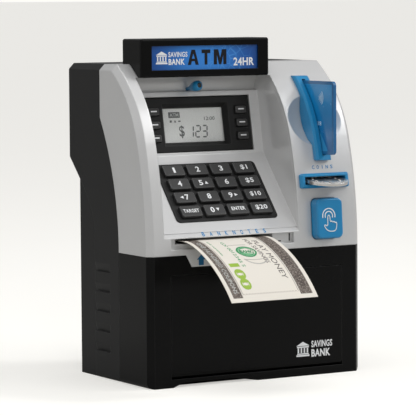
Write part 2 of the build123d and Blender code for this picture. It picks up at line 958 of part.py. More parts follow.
# ---- Coin slot ----
slot_middle = coin_height + 0.4
with BuildPart() as coin_slot_bezel:
    with BuildSketch(coin_plane):
        RectangleRounded(coin_bezel_width, coin_bezel_height, 1.5)
    extrude(amount=coin_bezel_rise)
    chamfer(top_edges(coin_slot_bezel, coin_plane), length=1.2)
    with BuildSketch(coin_plane):
        RectangleRounded(coin_bezel_width - 2, coin_bezel_height - 2, 1)
    extrude(amount=-2 * chute_front)
    add(block((-body_width, body_width), (chute_front, body_depth), (0, body_height)), mode=Mode.SUBTRACT)
    add(
        block(
            (coin_x - coin_slot_width / 2, coin_x + coin_slot_width / 2),
            (-10, body_depth),
            (slot_middle - coin_slot_height / 2, slot_middle + coin_slot_height / 2),
        ),
        mode=Mode.SUBTRACT,
    )
save(coin_slot_bezel, "coin_slot_bezel")

coin_face_depth = arch_depth(coin_height) - coin_bezel_rise
coin_lie = tilted_plane(coin_x, coin_face_depth, coin_height, coin_tilt)
with BuildPart() as coin:
    with BuildSketch(coin_lie.offset(-coin_thickness / 2)):
        Circle(coin_radius)
    extrude(amount=coin_thickness)
    with BuildSketch(coin_lie.offset(coin_thickness / 2)):
        Circle(coin_radius - 1.2)
    extrude(amount=-0.2, mode=Mode.SUBTRACT)
    with BuildSketch(coin_lie.offset(-coin_thickness / 2)):
        Circle(coin_radius - 1.2)
    extrude(amount=0.2, mode=Mode.SUBTRACT)
save(coin, "coin")

chute_half = coin_slot_width / 2 + chute_wall
chute_back = chute_front + 2 * coin_radius + 2 * chute_wall + 3
with BuildPart() as coin_chute:
    chute_sides = (coin_x - chute_half, coin_x + chute_half)
    add(block(chute_sides, (chute_front, chute_back), (chute_bottom, chute_top)))
    add(
        block(
            (coin_x - coin_slot_width / 2, coin_x + coin_slot_width / 2),
            (chute_front + chute_wall, chute_back - chute_wall),
            (chute_bottom - 1, chute_top - chute_wall),
        ),
        mode=Mode.SUBTRACT,
    )
    add(
        block(
            (coin_x - coin_slot_width / 2, coin_x + coin_slot_width / 2),
            (chute_front - 1, chute_front + chute_wall + 1),
            (slot_middle - coin_slot_height / 2, slot_middle + coin_slot_height / 2 + 2),
        ),
        mode=Mode.SUBTRACT,
    )
save(coin_chute, "coin_chute")

# ---- Card slot ----
card_gap_half = card_thickness / 2 + card_slot_clearance
card_gap_sides = (card_x - card_gap_half, card_x + card_gap_half)
card_gap_bottom = card_bottom - 2 * card_slot_clearance
card_gap_top = card_bottom + card_height + 2 * card_slot_clearance
with BuildPart() as card_slot_bezel:
    add(card_bezel_form.part)
    chamfer(
        card_slot_bezel.edges()
        .filter_by(GeomType.CIRCLE)
        .filter_by(lambda e: e.center().Y - front < (e.center().Z - card_bezel_bottom) * 0.5 + 6),
        length=1.2,
    )
    add(
        block(card_gap_sides, (-20, body_depth), (card_gap_bottom, card_gap_top)),
        mode=Mode.SUBTRACT,
    )
save(card_slot_bezel, "card_slot_bezel")

pocket_back = card_length - card_proud + card_push + 1
with BuildPart() as card_pocket:
    add(
        block(
            (card_x - card_gap_half - pocket_wall, card_x + card_gap_half + pocket_wall),
            (0, pocket_back + pocket_wall),
            (card_gap_bottom - pocket_wall, card_gap_top + pocket_wall),
        )
    )
    add(behind_arch(card_bezel_sink, half_width, 0, body_height), mode=Mode.INTERSECT)
    add(
        block(card_gap_sides, (-1, pocket_back), (card_gap_bottom, card_gap_top)),
        mode=Mode.SUBTRACT,
    )
save(card_pocket, "card_pocket")

card_middle = (card_length / 2 - card_proud, card_bottom + card_height / 2)
with BuildPart() as bank_card:
    with BuildSketch(side_plane(card_x - card_thickness / 2)):
        with Locations(card_middle):
            RectangleRounded(card_length, card_height, card_radius)
    extrude(amount=card_thickness)
    for side in (-1, 1):
        with BuildSketch(side_plane(card_x + side * card_thickness / 2)):
            with Locations(card_middle):
                RectangleRounded(card_length - 2 * card_rim, card_height - 2 * card_rim, card_radius / 2)
        extrude(amount=-side * card_panel_sink, mode=Mode.SUBTRACT)
save(bank_card, "bank_card")

# ---- Touch button ----
button_flange = wall + 0.6
button_back = button_flange + 1.2
with BuildPart() as touch_button:
    with BuildSketch(button_plane.offset(-button_back)):
        RectangleRounded(button_width + 3, button_tall + 3, button_radius + 1)
    extrude(amount=button_back - button_flange)
    with BuildSketch(button_plane.offset(-button_back)):
        RectangleRounded(button_width, button_tall, button_radius)
    extrude(amount=button_back + button_rise)
    fillet(top_edges(touch_button, button_plane), radius=1.4)
save(touch_button, "touch_button")

with BuildPart() as control_boards:
    with BuildSketch(button_plane.offset(-button_back - button_travel - 2 * stack_gap - board_wall)):
        Rectangle(button_width, button_tall - 2)
    extrude(amount=board_wall)
    with BuildSketch(screen_plane.offset(-lcd_depth - board_wall)):
        Rectangle(screen_width - 4, screen_height - 6)
    extrude(amount=board_wall)
save(control_boards, "control_boards")

# ---- Banknote, its guide and its feed ----
with BuildPart() as banknote:
    with BuildSketch(side_plane(note_center)):
        with BuildLine():
            bend = TangentArc(
                (2, note_height), (-note_bend_reach, note_height - note_bend_drop), tangent=(-1, 0)
            )
            droop = TangentArc(bend @ 1, (-note_tip_reach, note_height - note_tip_drop), tangent=bend % 1)
            Line((2 + note_length - bend.length - droop.length, note_height), (2, note_height))
        trace(line_width=note_thickness)
    extrude(amount=note_width / 2, both=True)
save(banknote, "banknote")

guide_left = note_center - slot_width / 2
guide_right = note_center + slot_width / 2
cheek_left = guide_left - guide_wall
cheek_right = guide_right + guide_wall
feed_height = note_height - note_thickness / 2 - note_clearance - feed_radius
pinch_height = note_height + note_thickness / 2 + note_clearance + pinch_radius
gear_spread = gear_module * (gear_teeth + pinion_teeth) / 2 + gear_backlash
motor_depth = roller_depth + gear_spread
motor_arm = motor_depth + 5
with BuildPart() as note_guide:
    add(
        block(
            (cheek_left, cheek_right),
            (slot_pad_depth, slot_pad_depth + guide_length),
            (note_height - slot_height / 2 - guide_wall, note_height + slot_height / 2 + guide_wall),
        )
    )
    for inner, outer in ((guide_left, cheek_left - guide_wall), (guide_right, cheek_right + guide_wall)):
        add(
            block(
                (min(inner, outer), max(inner, outer)),
                (roller_depth - cheek_depth / 2, roller_depth + cheek_depth / 2),
                (note_height - cheek_height / 2, note_height + cheek_height / 2),
            )
        )
    add(
        block(
            (cheek_left - guide_wall, cheek_left),
            (roller_depth, motor_arm),
            (feed_height - 4, feed_height + 4),
        )
    )
    add(
        block(
            (guide_left, guide_right),
            (slot_pad_depth - 1, slot_pad_depth + guide_length + 1),
            (note_height - slot_height / 2, note_height + slot_height / 2),
        ),
        mode=Mode.SUBTRACT,
    )
    add(
        block(
            (note_center - roller_length / 2 - 1, note_center + roller_length / 2 + 1),
            (roller_depth - feed_radius - 0.6, roller_depth + feed_radius + 0.6),
            (feed_height - feed_radius, pinch_height + pinch_radius),
        ),
        mode=Mode.SUBTRACT,
    )
    with BuildSketch(side_plane(cheek_left - guide_wall)):
        with Locations(
            (roller_depth, feed_height),
            (roller_depth, pinch_height),
            (motor_depth, feed_height),
        ):
            Circle(shaft_radius + shaft_clearance)
    extrude(amount=guide_wall + slot_width + 3 * guide_wall, mode=Mode.SUBTRACT)
save(note_guide, "note_guide")


def make_roller(name, height, radius, left, right):
    """A rubber-covered roller on its shaft, between two ends."""
    with BuildPart() as roller:
        with BuildSketch(side_plane(note_center)):
            with Locations((roller_depth, height)):
                Circle(radius)
        extrude(amount=roller_length / 2, both=True)
        with BuildSketch(side_plane(left)):
            with Locations((roller_depth, height)):
                Circle(shaft_radius)
        extrude(amount=right - left)
    save(roller, name)


gear_left = cheek_left - guide_wall - 1 - gear_width
make_roller("feed_roller", feed_height, feed_radius, gear_left, cheek_right + guide_wall)
make_roller("pinch_roller", pinch_height, pinch_radius, cheek_left - guide_wall, cheek_right + guide_wall)


def make_gear(name, depth, teeth, turn, bore):
    """A spur gear with straight-sided teeth on the gear train's plane."""
    pitch_radius = gear_module * teeth / 2
    root = pitch_radius - 1.1 * gear_module
    tip = pitch_radius + 0.8 * gear_module
    foot_half = 0.75 * gear_module
    tip_half = 0.35 * gear_module
    with BuildPart() as gear:
        with BuildSketch(side_plane(gear_left)) as outline:
            with Locations((depth, feed_height)):
                Circle(root)
            for tooth in range(teeth):
                angle = turn + 360 / teeth * tooth
                with Locations(Location((depth, feed_height, 0), (0, 0, angle))):
                    Polygon(
                        (root - 0.4, -foot_half),
                        (tip, -tip_half),
                        (tip, tip_half),
                        (root - 0.4, foot_half),
                        align=None,
                    )
            if bore:
                with Locations((depth, feed_height)):
                    Circle(shaft_radius, mode=Mode.SUBTRACT)
        extrude(amount=gear_width)
        if not bore:
            with BuildSketch(side_plane(gear_left)):
                with Locations((depth, feed_height)):
                    Circle(shaft_radius)
            extrude(amount=gear_width + 1 + guide_wall)
    save(gear, name)


make_gear("roller_gear", roller_depth, gear_teeth, 0, True)
make_gear("motor_pinion", motor_depth, pinion_teeth, 180 / pinion_teeth, False)

with BuildPart() as motor:
    with BuildSketch(side_plane(gear_left - motor_length - 0.5)):
        with Locations((motor_depth, feed_height)):
            Circle(motor_radius)
    extrude(amount=motor_length)
    with BuildSketch(side_plane(gear_left - 0.5 - motor_length)):
        with Locations((motor_depth, feed_height)):
            Rectangle(motor_radius, 2 * motor_radius + 3)
    extrude(amount=1.2)
save(motor, "motor")

# ---- Cash door, its pins and its latch ----
keeper_top = door_top - keeper_drop
with BuildPart() as door:
    add(block((door_left, door_right), (0, door_wall), (hinge_height, door_top)))
    with BuildSketch(side_plane(door_left)):
        with Locations((hinge_depth, hinge_height)):
            Circle(barrel_radius)
    extrude(amount=door_width)
    for x in (door_left + 12, door_center, door_right - 12):
        add(block((x - 1, x + 1), (door_wall / 2, door_wall + 2.5), (hinge_height, door_top - 8)))
    add(
        block(
            (latch_x - keeper_width / 2, latch_x + keeper_width / 2),
            (door_wall / 2, latch_depth + latch_radius + 2),
            (keeper_top - keeper_wall, keeper_top),
        )
    )
    with BuildSketch(floor_plane(keeper_top - keeper_wall)):
        with Locations((latch_x, latch_depth)):
            Circle(latch_radius + 0.3)
    extrude(amount=keeper_wall, mode=Mode.SUBTRACT)
    for start in (door_left, door_right - hinge_pin_length):
        with BuildSketch(side_plane(start)):
            with Locations((hinge_depth, hinge_height)):
                Circle(hinge_pin_radius)
        extrude(amount=hinge_pin_length, mode=Mode.SUBTRACT)
save(door, "door")

with BuildPart() as door_hinge_pins:
    for start in (door_left - door_gap - hinge_cheek, door_right - hinge_pin_length):
        with BuildSketch(side_plane(start)):
            with Locations((hinge_depth, hinge_height)):
                Circle(hinge_pin_radius)
        extrude(amount=hinge_pin_length + door_gap + hinge_cheek)
save(door_hinge_pins, "door_hinge_pins")

solenoid_bottom = ledge_bottom + latch_ledge
with BuildPart() as door_latch:
    with BuildSketch(floor_plane(ledge_bottom)):
        with Locations((latch_x, latch_depth)):
            Circle(latch_radius)
    extrude(amount=latch_ledge + solenoid_height - 2)
    chamfer(door_latch.edges().group_by(Axis.Z)[0], length=0.6)
save(door_latch, "door_latch")

with BuildPart() as latch_solenoid:
    add(
        block(
            (latch_x - solenoid_size / 2, latch_x + solenoid_size / 2),
            (latch_depth - solenoid_size / 2, latch_depth + solenoid_size / 2),
            (solenoid_bottom, solenoid_bottom + solenoid_height),
        )
    )
    with BuildSketch(floor_plane(solenoid_bottom)):
        with Locations((latch_x, latch_depth)):
            Circle(latch_radius + latch_clearance)
    extrude(amount=solenoid_height - 1, mode=Mode.SUBTRACT)
save(latch_solenoid, "latch_solenoid")

# ---- Batteries, contacts and cover ----
battery_depth = battery_cavity_front + battery_radius + 0.4
battery_places = [
    ((i - (battery_count - 1) / 2) * battery_pitch, battery_depth) for i in range(battery_count)
]
battery_start = battery_bottom + contact_wall + contact_gap
with BuildPart() as batteries:
    with BuildSketch(floor_plane(battery_start)):
        with Locations(battery_places):
            Circle(battery_radius)
    extrude(amount=battery_length)
    with BuildSketch(floor_plane(battery_start + battery_length)):
        with Locations(battery_places):
            Circle(battery_radius * 0.38)
    extrude(amount=contact_gap * 0.7)
save(batteries, "batteries")

with BuildPart() as battery_contacts:
    for height in (battery_bottom, battery_top - contact_wall):
        with BuildSketch(floor_plane(height)):
            with Locations(battery_places):
                Rectangle(battery_radius * 1.5, battery_radius * 1.2)
        extrude(amount=contact_wall)
save(battery_contacts, "battery_contacts")

cover_margin = 2 * cover_lip - 2 * door_gap
with BuildPart() as battery_cover:
    with BuildSketch(face_plane(body_depth)):
        with Locations((0, (battery_bottom + battery_top) / 2)):
            Rectangle(battery_row + cover_margin, battery_top - battery_bottom + cover_margin)
    extrude(amount=wall)
    with BuildSketch(face_plane(body_depth)):
        with Locations((0, battery_top - 4)):
            SlotOverall(16, 4)
    extrude(amount=wall / 2, mode=Mode.SUBTRACT)
save(battery_cover, "battery_cover")

# ---- Speaker and screws ----
with BuildPart() as speaker:
    with BuildSketch(face_plane(core_depth - wall)):
        with Locations((0, speaker_height)):
            Circle(speaker_radius)
    extrude(amount=speaker_depth / 3)
    with BuildSketch(face_plane(core_depth - wall)):
        with Locations((0, speaker_height)):
            Circle(speaker_radius * 0.55)
    extrude(amount=speaker_depth)
save(speaker, "speaker")

with BuildPart() as shell_screws:
    for height in screw_heights:
        rear_face = core_depth if height < overhang_height else body_depth
        for side in (-1, 1):
            with BuildSketch(face_plane(rear_face)):
                with Locations((side * screw_x, height)):
                    Circle(screw_head_radius)
            extrude(amount=screw_head_height)
            with BuildSketch(face_plane(rear_face)):
                with Locations((side * screw_x, height)):
                    Circle(screw_radius)
            extrude(amount=screw_head_height + screw_length - 3)
save(shell_screws, "shell_screws")
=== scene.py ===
import math

import bmesh
import bpy
from mathutils import Matrix, Vector
from mathutils.bvhtree import BVHTree


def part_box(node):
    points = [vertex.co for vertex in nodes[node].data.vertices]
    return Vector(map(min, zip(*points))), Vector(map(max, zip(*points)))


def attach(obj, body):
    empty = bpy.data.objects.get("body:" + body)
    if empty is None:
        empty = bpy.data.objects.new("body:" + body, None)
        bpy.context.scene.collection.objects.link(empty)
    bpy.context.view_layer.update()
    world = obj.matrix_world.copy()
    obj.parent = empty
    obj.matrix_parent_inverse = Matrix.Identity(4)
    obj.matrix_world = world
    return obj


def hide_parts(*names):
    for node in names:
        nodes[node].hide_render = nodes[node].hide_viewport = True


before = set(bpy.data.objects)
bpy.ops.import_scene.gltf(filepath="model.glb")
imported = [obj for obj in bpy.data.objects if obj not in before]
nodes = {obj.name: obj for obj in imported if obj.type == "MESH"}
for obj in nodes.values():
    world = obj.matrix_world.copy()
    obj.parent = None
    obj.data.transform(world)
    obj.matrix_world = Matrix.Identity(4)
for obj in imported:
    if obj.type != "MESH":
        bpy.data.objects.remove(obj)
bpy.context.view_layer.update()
scene = bpy.context.scene
mm = 0.001


# stage: floor, light and camera
studio = {
    "floorSize": 160.0,
    "floorSides": 64,
    "floorColor": (0.55, 0.545, 0.525, 1),
    "floorFleck": (0.57, 0.565, 0.545, 1),
    "floorShader": {"Roughness": 0.85, "Specular IOR Level": 0.15},
    "skyColor": (1.0, 0.985, 0.945, 1),
    "skySeen": 1.0,
    "skyLight": 0.36,
    "floorLift": 0.5,
    "sunStrength": 1.15,
    "sunAngle": 11.0,
    "sunFrom": (1.3, -0.5, 0.95),
    "lampAim": (0, 0, 0.1),
}
camera = {
    "target": (0.0, -0.005, 0.115),
    "azimuth": -31.006,
    "elevation": 4.553,
    "distance": 1.81392,
    "roll": -0.367,
    "lens": 227.57,
    "shiftX": -0.0262,
    "shiftY": -0.0048,
    "sensor": 36.0,
    "clip": (0.05, 400.0),
}
softboxes = {
    "keyPanel": {"at": (1.1, -1.2, 1.3), "size": (0.8, 0.9), "power": 6.0},
    "topPanel": {"at": (-0.1, -0.2, 1.6), "size": (1.2, 0.9), "power": 9.0},
    "leftPanel": {"at": (-1.7, -0.2, 0.6), "size": (0.35, 1.2), "power": 3.0},
    "frontStrip": {"at": (-0.75, -1.7, 0.9), "size": (0.3, 0.8), "power": 4.6},
}


def put(tree, kind, inputs=None, **settings):
    made = tree.nodes.new("ShaderNode" + kind)
    for name, value in settings.items():
        setattr(made, name, value)
    for key, value in (inputs or {}).items():
        if isinstance(value, bpy.types.NodeSocket):
            tree.links.new(value, made.inputs[key])
        else:
            made.inputs[key].default_value = value
    return made


def newMaterial(name, shaderValues=None):
    material = bpy.data.materials.new(name)
    material.use_nodes = True
    tree = material.node_tree
    tree.nodes.clear()
    shader = put(tree, "BsdfPrincipled", shaderValues)
    put(tree, "OutputMaterial", {"Surface": shader.outputs["BSDF"]})
    return material, tree, shader


def buildStage():
    floorMesh = bpy.data.meshes.new("studioFloor")
    bm = bmesh.new()
    bmesh.ops.create_circle(bm, cap_ends=True, radius=studio["floorSize"], segments=studio["floorSides"])
    bm.to_mesh(floorMesh)
    bm.free()
    floor = bpy.data.objects.new("studioFloor", floorMesh)
    scene.collection.objects.link(floor)
    material, tree, shader = newMaterial("studioFloorPaper", studio["floorShader"])
    place = put(tree, "TexCoord").outputs["Object"]
    fleck = put(tree, "TexNoise", {"Vector": place, "Scale": 9.0, "Detail": 3.0})
    tone = put(
        tree, "MixRGB",
        {"Fac": fleck.outputs["Fac"], "Color1": studio["floorColor"], "Color2": studio["floorFleck"]}
    )
    tree.links.new(tone.outputs["Color"], shader.inputs["Base Color"])
    ray = put(tree, "LightPath")
    lift = put(tree, "Math", {0: ray.outputs["Is Camera Ray"], 1: studio["floorLift"]}, operation="MULTIPLY")
    shader.inputs["Emission Color"].default_value = studio["skyColor"]
    tree.links.new(lift.outputs["Value"], shader.inputs["Emission Strength"])
    floorMesh.materials.append(material)

    world = bpy.data.worlds.new("studioSky")
    scene.world = world
    world.use_nodes = True
    tree = world.node_tree
    tree.nodes.clear()
    seen = put(tree, "Background", {"Color": studio["skyColor"], "Strength": studio["skySeen"]})
    lit = put(tree, "Background", {"Color": (1, 1, 1, 1), "Strength": studio["skyLight"]})
    ray = put(tree, "LightPath")
    either = put(tree, "MixShader", {0: ray.outputs["Is Camera Ray"], 1: lit.outputs[0], 2: seen.outputs[0]})
    put(tree, "OutputWorld", {"Surface": either.outputs[0]})

    sunData = bpy.data.lights.new("studioSun", "SUN")
    sunData.energy = studio["sunStrength"]
    sunData.angle = math.radians(studio["sunAngle"])
    sun = bpy.data.objects.new("studioSun", sunData)
    scene.collection.objects.link(sun)
    sun.rotation_mode = "QUATERNION"
    sun.rotation_quaternion = Vector(studio["sunFrom"]).to_track_quat("Z", "Y")
    for name, box in softboxes.items():
        data = bpy.data.lights.new(name, "AREA")
        data.shape = "RECTANGLE"
        data.size, data.size_y = box["size"]
        data.energy = box["power"]
        lamp = bpy.data.objects.new(name, data)
        scene.collection.objects.link(lamp)
        lamp.location = box["at"]
        lamp.rotation_mode = "QUATERNION"
        lamp.rotation_quaternion = (Vector(box["at"]) - Vector(studio["lampAim"])).to_track_quat("Z", "Y")


def buildCamera():
    data = bpy.data.cameras.new("studioCamera")
    data.lens = camera["lens"]
    data.sensor_width = camera["sensor"]
    data.shift_x = camera["shiftX"]
    data.shift_y = camera["shiftY"]
    data.clip_start, data.clip_end = camera["clip"]
    eye = bpy.data.objects.new("studioCamera", data)
    scene.collection.objects.link(eye)
    turn, rise = math.radians(camera["azimuth"]), math.radians(camera["elevation"])
    back = Vector((math.sin(turn) * math.cos(rise), -math.cos(turn) * math.cos(rise), math.sin(rise)))
    aim = (-back).to_track_quat("-Z", "Y").to_matrix().to_4x4()
    aim = aim @ Matrix.Rotation(math.radians(camera["roll"]), 4, "Z")
    aim.translation = Vector(camera["target"]) + back * camera["distance"]
    eye.matrix_world = aim
    scene.camera = eye


scene.view_settings.view_transform = "Standard"
buildStage()
buildCamera()
print("stage ready")


# shared shader groups
def newGroup(name, inputs, outputs):
    group = bpy.data.node_groups.new(name, "ShaderNodeTree")
    for label, kind, value in inputs:
        socket = group.interface.new_socket(name=label, in_out="INPUT", socket_type="NodeSocket" + kind)
        if value is not None:
            socket.default_value = value
    for label, kind in outputs:
        group.interface.new_socket(name=label, in_out="OUTPUT", socket_type="NodeSocket" + kind)
    start = group.nodes.new("NodeGroupInput")
    end = group.nodes.new("NodeGroupOutput")
    return group, start.outputs, end.inputs


def buildMouldedGroup():
    # colour drift, fine grain, softened edges and a painted highlight that makes the edges paler
    group, given, result = newGroup(
        "mouldedSurface",
        [("Color", "Color", (0.5, 0.5, 0.5, 1)), ("Drift Color", "Color", (0.5, 0.5, 0.5, 1)),
         ("Edge Highlight Color", "Color", (0.8, 0.8, 0.8, 1)), ("Edge Highlight Amount", "Float", 0.3),
         ("Edge Radius", "Float", 0.0005), ("Grain Size", "Float", 900.0), ("Grain Depth", "Float", 0.05),
         ("Roughness", "Float", 0.35), ("Roughness Drift", "Float", 0.08)],
        [("Color", "Color"), ("Roughness", "Float"), ("Normal", "Vector")],
    )
    place = put(group, "TexCoord").outputs["Object"]
    drift = put(group, "TexNoise", {"Vector": place, "Scale": 22.0, "Detail": 4.0, "Roughness": 0.6})
    grain = put(group, "TexNoise", {"Vector": place, "Scale": given["Grain Size"], "Detail": 2.0})
    tone = put(
        group, "MixRGB",
        {"Fac": drift.outputs["Fac"], "Color1": given["Color"], "Color2": given["Drift Color"]}
    )
    soft = put(group, "Bevel", {"Radius": given["Edge Radius"]}, samples=4)
    flat = put(group, "NewGeometry").outputs["Normal"]
    facing = put(group, "VectorMath", {0: soft.outputs["Normal"], 1: flat}, operation="DOT_PRODUCT")
    # painted highlight: the bevel mask, broken up by the drift, mixes the edges towards the paler edge colour
    edge = put(group, "MapRange", {"Value": facing.outputs["Value"], "From Min": 0.995, "From Max": 0.8})
    broken = put(group, "Math", {0: edge.outputs["Result"], 1: drift.outputs["Fac"]}, operation="MULTIPLY")
    edgeHighlightShare = put(
        group, "Math", {0: broken.outputs["Value"], 1: given["Edge Highlight Amount"]}, operation="MULTIPLY",
        use_clamp=True
    )
    edgeHighlighted = put(
        group, "MixRGB",
        {"Fac": edgeHighlightShare.outputs["Value"], "Color1": tone.outputs["Color"], "Color2": given["Edge Highlight Color"]}
    )
    group.links.new(edgeHighlighted.outputs["Color"], result["Color"])
    centred = put(group, "Math", {0: drift.outputs["Fac"], 1: 0.5}, operation="SUBTRACT")
    spread = put(
        group, "Math", {0: centred.outputs["Value"], 1: given["Roughness Drift"]}, operation="MULTIPLY"
    )
    rough = put(
        group, "Math", {0: spread.outputs["Value"], 1: given["Roughness"]}, operation="ADD", use_clamp=True
    )
    group.links.new(rough.outputs["Value"], result["Roughness"])
    bump = put(
        group, "Bump",
        {
            "Strength": given["Grain Depth"], "Distance": 0.0002, "Height": grain.outputs["Fac"],
            "Normal": soft.outputs["Normal"]
        }
    )
    group.links.new(bump.outputs["Normal"], result["Normal"])
    return group


mouldedGroup = buildMouldedGroup()


def shade(level, tint=(1.0, 1.0, 1.0)):
    return (level * tint[0], level * tint[1], level * tint[2], 1)


def moulded(name, finish):
    material, tree, shader = newMaterial(name, finish.get("shader"))
    surface = put(tree, "Group", node_tree=mouldedGroup)
    for label, value in finish["surface"].items():
        surface.inputs[label].default_value = value
    tree.links.new(surface.outputs["Color"], shader.inputs["Base Color"])
    tree.links.new(surface.outputs["Roughness"], shader.inputs["Roughness"])
    tree.links.new(surface.outputs["Normal"], shader.inputs["Normal"])
    return material


# every finish paints a highlight on its edges with its edge colour and amount
finishes = {
    "silver_paint": {
        "shader": {"Metallic": 0.3, "Coat Weight": 0.2, "Coat Roughness": 0.12, "Specular IOR Level": 0.5},
        "surface": {
            "Color": shade(0.6), "Drift Color": shade(0.64), "Edge Highlight Color": shade(0.9), "Edge Highlight Amount": 0.5,
            "Edge Radius": 0.0012, "Grain Size": 3500.0, "Grain Depth": 0.06, "Roughness": 0.32,
            "Roughness Drift": 0.06
        },
    },
    "satin_black": {
        "shader": {"Specular IOR Level": 0.2},
        "surface": {
            "Color": shade(0.012), "Drift Color": shade(0.015), "Edge Highlight Color": shade(0.1), "Edge Highlight Amount": 0.6,
            "Edge Radius": 0.0008, "Grain Size": 1500.0, "Grain Depth": 0.12, "Roughness": 0.46,
            "Roughness Drift": 0.1
        },
    },
    "gloss_black": {
        "shader": {"Specular IOR Level": 0.12},
        "surface": {
            "Color": shade(0.003), "Drift Color": shade(0.0045), "Edge Highlight Color": shade(0.09),
            "Edge Highlight Amount": 0.6, "Edge Radius": 0.0006, "Grain Size": 260.0, "Grain Depth": 0.02,
            "Roughness": 0.2, "Roughness Drift": 0.08
        },
    },
    "blue_plastic": {
        "shader": {"Specular IOR Level": 0.45, "Coat Weight": 0.15},
        "surface": {
            "Color": (0.008, 0.2, 0.43, 1), "Drift Color": (0.012, 0.23, 0.48, 1),
            "Edge Highlight Color": (0.2, 0.55, 0.8, 1), "Edge Highlight Amount": 0.5, "Edge Radius": 0.0008,
            "Grain Size": 1200.0, "Grain Depth": 0.05, "Roughness": 0.3, "Roughness Drift": 0.08
        },
    },
    "lens_black": {
        "shader": {"Coat Weight": 0.5, "Coat Roughness": 0.03},
        "surface": {
            "Color": shade(0.004), "Drift Color": shade(0.008), "Edge Highlight Color": shade(0.02), "Grain Depth": 0.0,
            "Roughness": 0.1, "Roughness Drift": 0.05
        },
    },
    "lcd_grey": {
        "shader": {"Specular IOR Level": 0.3},
        "surface": {
            "Color": (0.72, 0.73, 0.71, 1), "Drift Color": (0.78, 0.79, 0.77, 1), "Edge Highlight Amount": 0.0,
            "Grain Size": 2500.0, "Grain Depth": 0.04, "Roughness": 0.5, "Roughness Drift": 0.05
        },
    },
    "grey_rubber": {
        "shader": {"Specular IOR Level": 0.25},
        "surface": {
            "Color": shade(0.1), "Drift Color": shade(0.14), "Edge Highlight Color": shade(0.2), "Grain Size": 1800.0,
            "Grain Depth": 0.3, "Roughness": 0.75, "Roughness Drift": 0.15
        },
    },
    "board_green": {
        "shader": {"Specular IOR Level": 0.4, "Coat Weight": 0.3},
        "surface": {
            "Color": (0.012, 0.13, 0.05, 1), "Drift Color": (0.02, 0.17, 0.07, 1),
            "Edge Highlight Color": (0.5, 0.45, 0.2, 1), "Grain Size": 700.0, "Grain Depth": 0.2, "Roughness": 0.4,
            "Roughness Drift": 0.15
        },
    },
    "coin_nickel": {
        "shader": {"Metallic": 0.95},
        "surface": {
            "Color": shade(0.62, (1, 0.98, 0.95)), "Drift Color": shade(0.72, (1, 0.98, 0.95)),
            "Edge Highlight Color": shade(0.95), "Edge Highlight Amount": 0.8, "Edge Radius": 0.0004, "Grain Size": 900.0,
            "Grain Depth": 0.18, "Roughness": 0.26, "Roughness Drift": 0.12
        },
    },
    "inner_plastic": {
        "shader": {"Specular IOR Level": 0.35},
        "surface": {
            "Color": shade(0.55), "Drift Color": shade(0.6), "Edge Highlight Color": shade(0.7), "Grain Size": 900.0,
            "Grain Depth": 0.1, "Roughness": 0.5, "Roughness Drift": 0.1
        },
    },
    "steel": {
        "shader": {"Metallic": 0.95},
        "surface": {
            "Color": shade(0.5), "Drift Color": shade(0.6), "Edge Highlight Color": shade(0.85), "Edge Radius": 0.0003,
            "Grain Size": 1400.0, "Grain Depth": 0.15, "Roughness": 0.32, "Roughness Drift": 0.15
        },
    },
    "brass": {
        "shader": {"Metallic": 0.95},
        "surface": {
            "Color": (0.68, 0.48, 0.18, 1), "Drift Color": (0.75, 0.56, 0.25, 1),
            "Edge Highlight Color": (0.95, 0.8, 0.5, 1), "Edge Radius": 0.0003, "Grain Size": 1400.0,
            "Grain Depth": 0.15, "Roughness": 0.3, "Roughness Drift": 0.12
        },
    },
    "battery_wrap": {
        "shader": {"Coat Weight": 0.4},
        "surface": {
            "Color": (0.05, 0.08, 0.16, 1), "Drift Color": (0.07, 0.1, 0.2, 1), "Edge Highlight Color": shade(0.5),
            "Grain Size": 400.0, "Grain Depth": 0.04, "Roughness": 0.25, "Roughness Drift": 0.1
        },
    },
    "speaker_black": {
        "shader": {"Specular IOR Level": 0.25},
        "surface": {
            "Color": shade(0.02), "Drift Color": shade(0.035), "Edge Highlight Color": shade(0.3), "Grain Size": 2500.0,
            "Grain Depth": 0.35, "Roughness": 0.7, "Roughness Drift": 0.2
        },
    },
    "key_plastic": {
        "shader": {"Specular IOR Level": 0.4},
        "surface": {
            "Color": shade(0.026), "Drift Color": shade(0.032), "Edge Highlight Color": shade(0.4), "Edge Highlight Amount": 1.3,
            "Edge Radius": 0.0008, "Grain Size": 1600.0, "Grain Depth": 0.1, "Roughness": 0.42,
            "Roughness Drift": 0.1
        },
    },
}
made = {name: moulded(name + "Finish", finish) for name, finish in finishes.items()}

inks = {
    "whiteInk": (0.85, 0.86, 0.87, 1), "blackInk": (0.008, 0.008, 0.01, 1), "skyInk": (0.05, 0.24, 0.5, 1),
    "blueInk": (0.01, 0.12, 0.26, 1), "segmentInk": (0.075, 0.08, 0.08, 1),
    "noteGreenInk": (0.05, 0.34, 0.13, 1), "noteLimeInk": (0.33, 0.5, 0.07, 1),
    "noteBrownInk": (0.07, 0.055, 0.05, 1), "noteGreyInk": (0.5, 0.48, 0.45, 1),
    "sealInk": (0.03, 0.26, 0.1, 1), "sealPaleInk": (0.22, 0.5, 0.28, 1), "paleInk": (0.55, 0.72, 0.85, 1),
    "signInk": (0.035, 0.21, 0.62, 1), "lcdPaleInk": (0.5, 0.52, 0.5, 1),
}
inkDrift = 0.86
for name, color in inks.items():
    darker = tuple(c * inkDrift for c in color[:3]) + (1,)
    made[name] = moulded(name, {
        "shader": {"Specular IOR Level": 0.2},
        "surface": {
            "Color": color, "Drift Color": darker, "Edge Highlight Amount": 0.0, "Edge Radius": 0.00005,
            "Grain Size": 2600.0, "Grain Depth": 0.15, "Roughness": 0.55, "Roughness Drift": 0.2
        },
    })


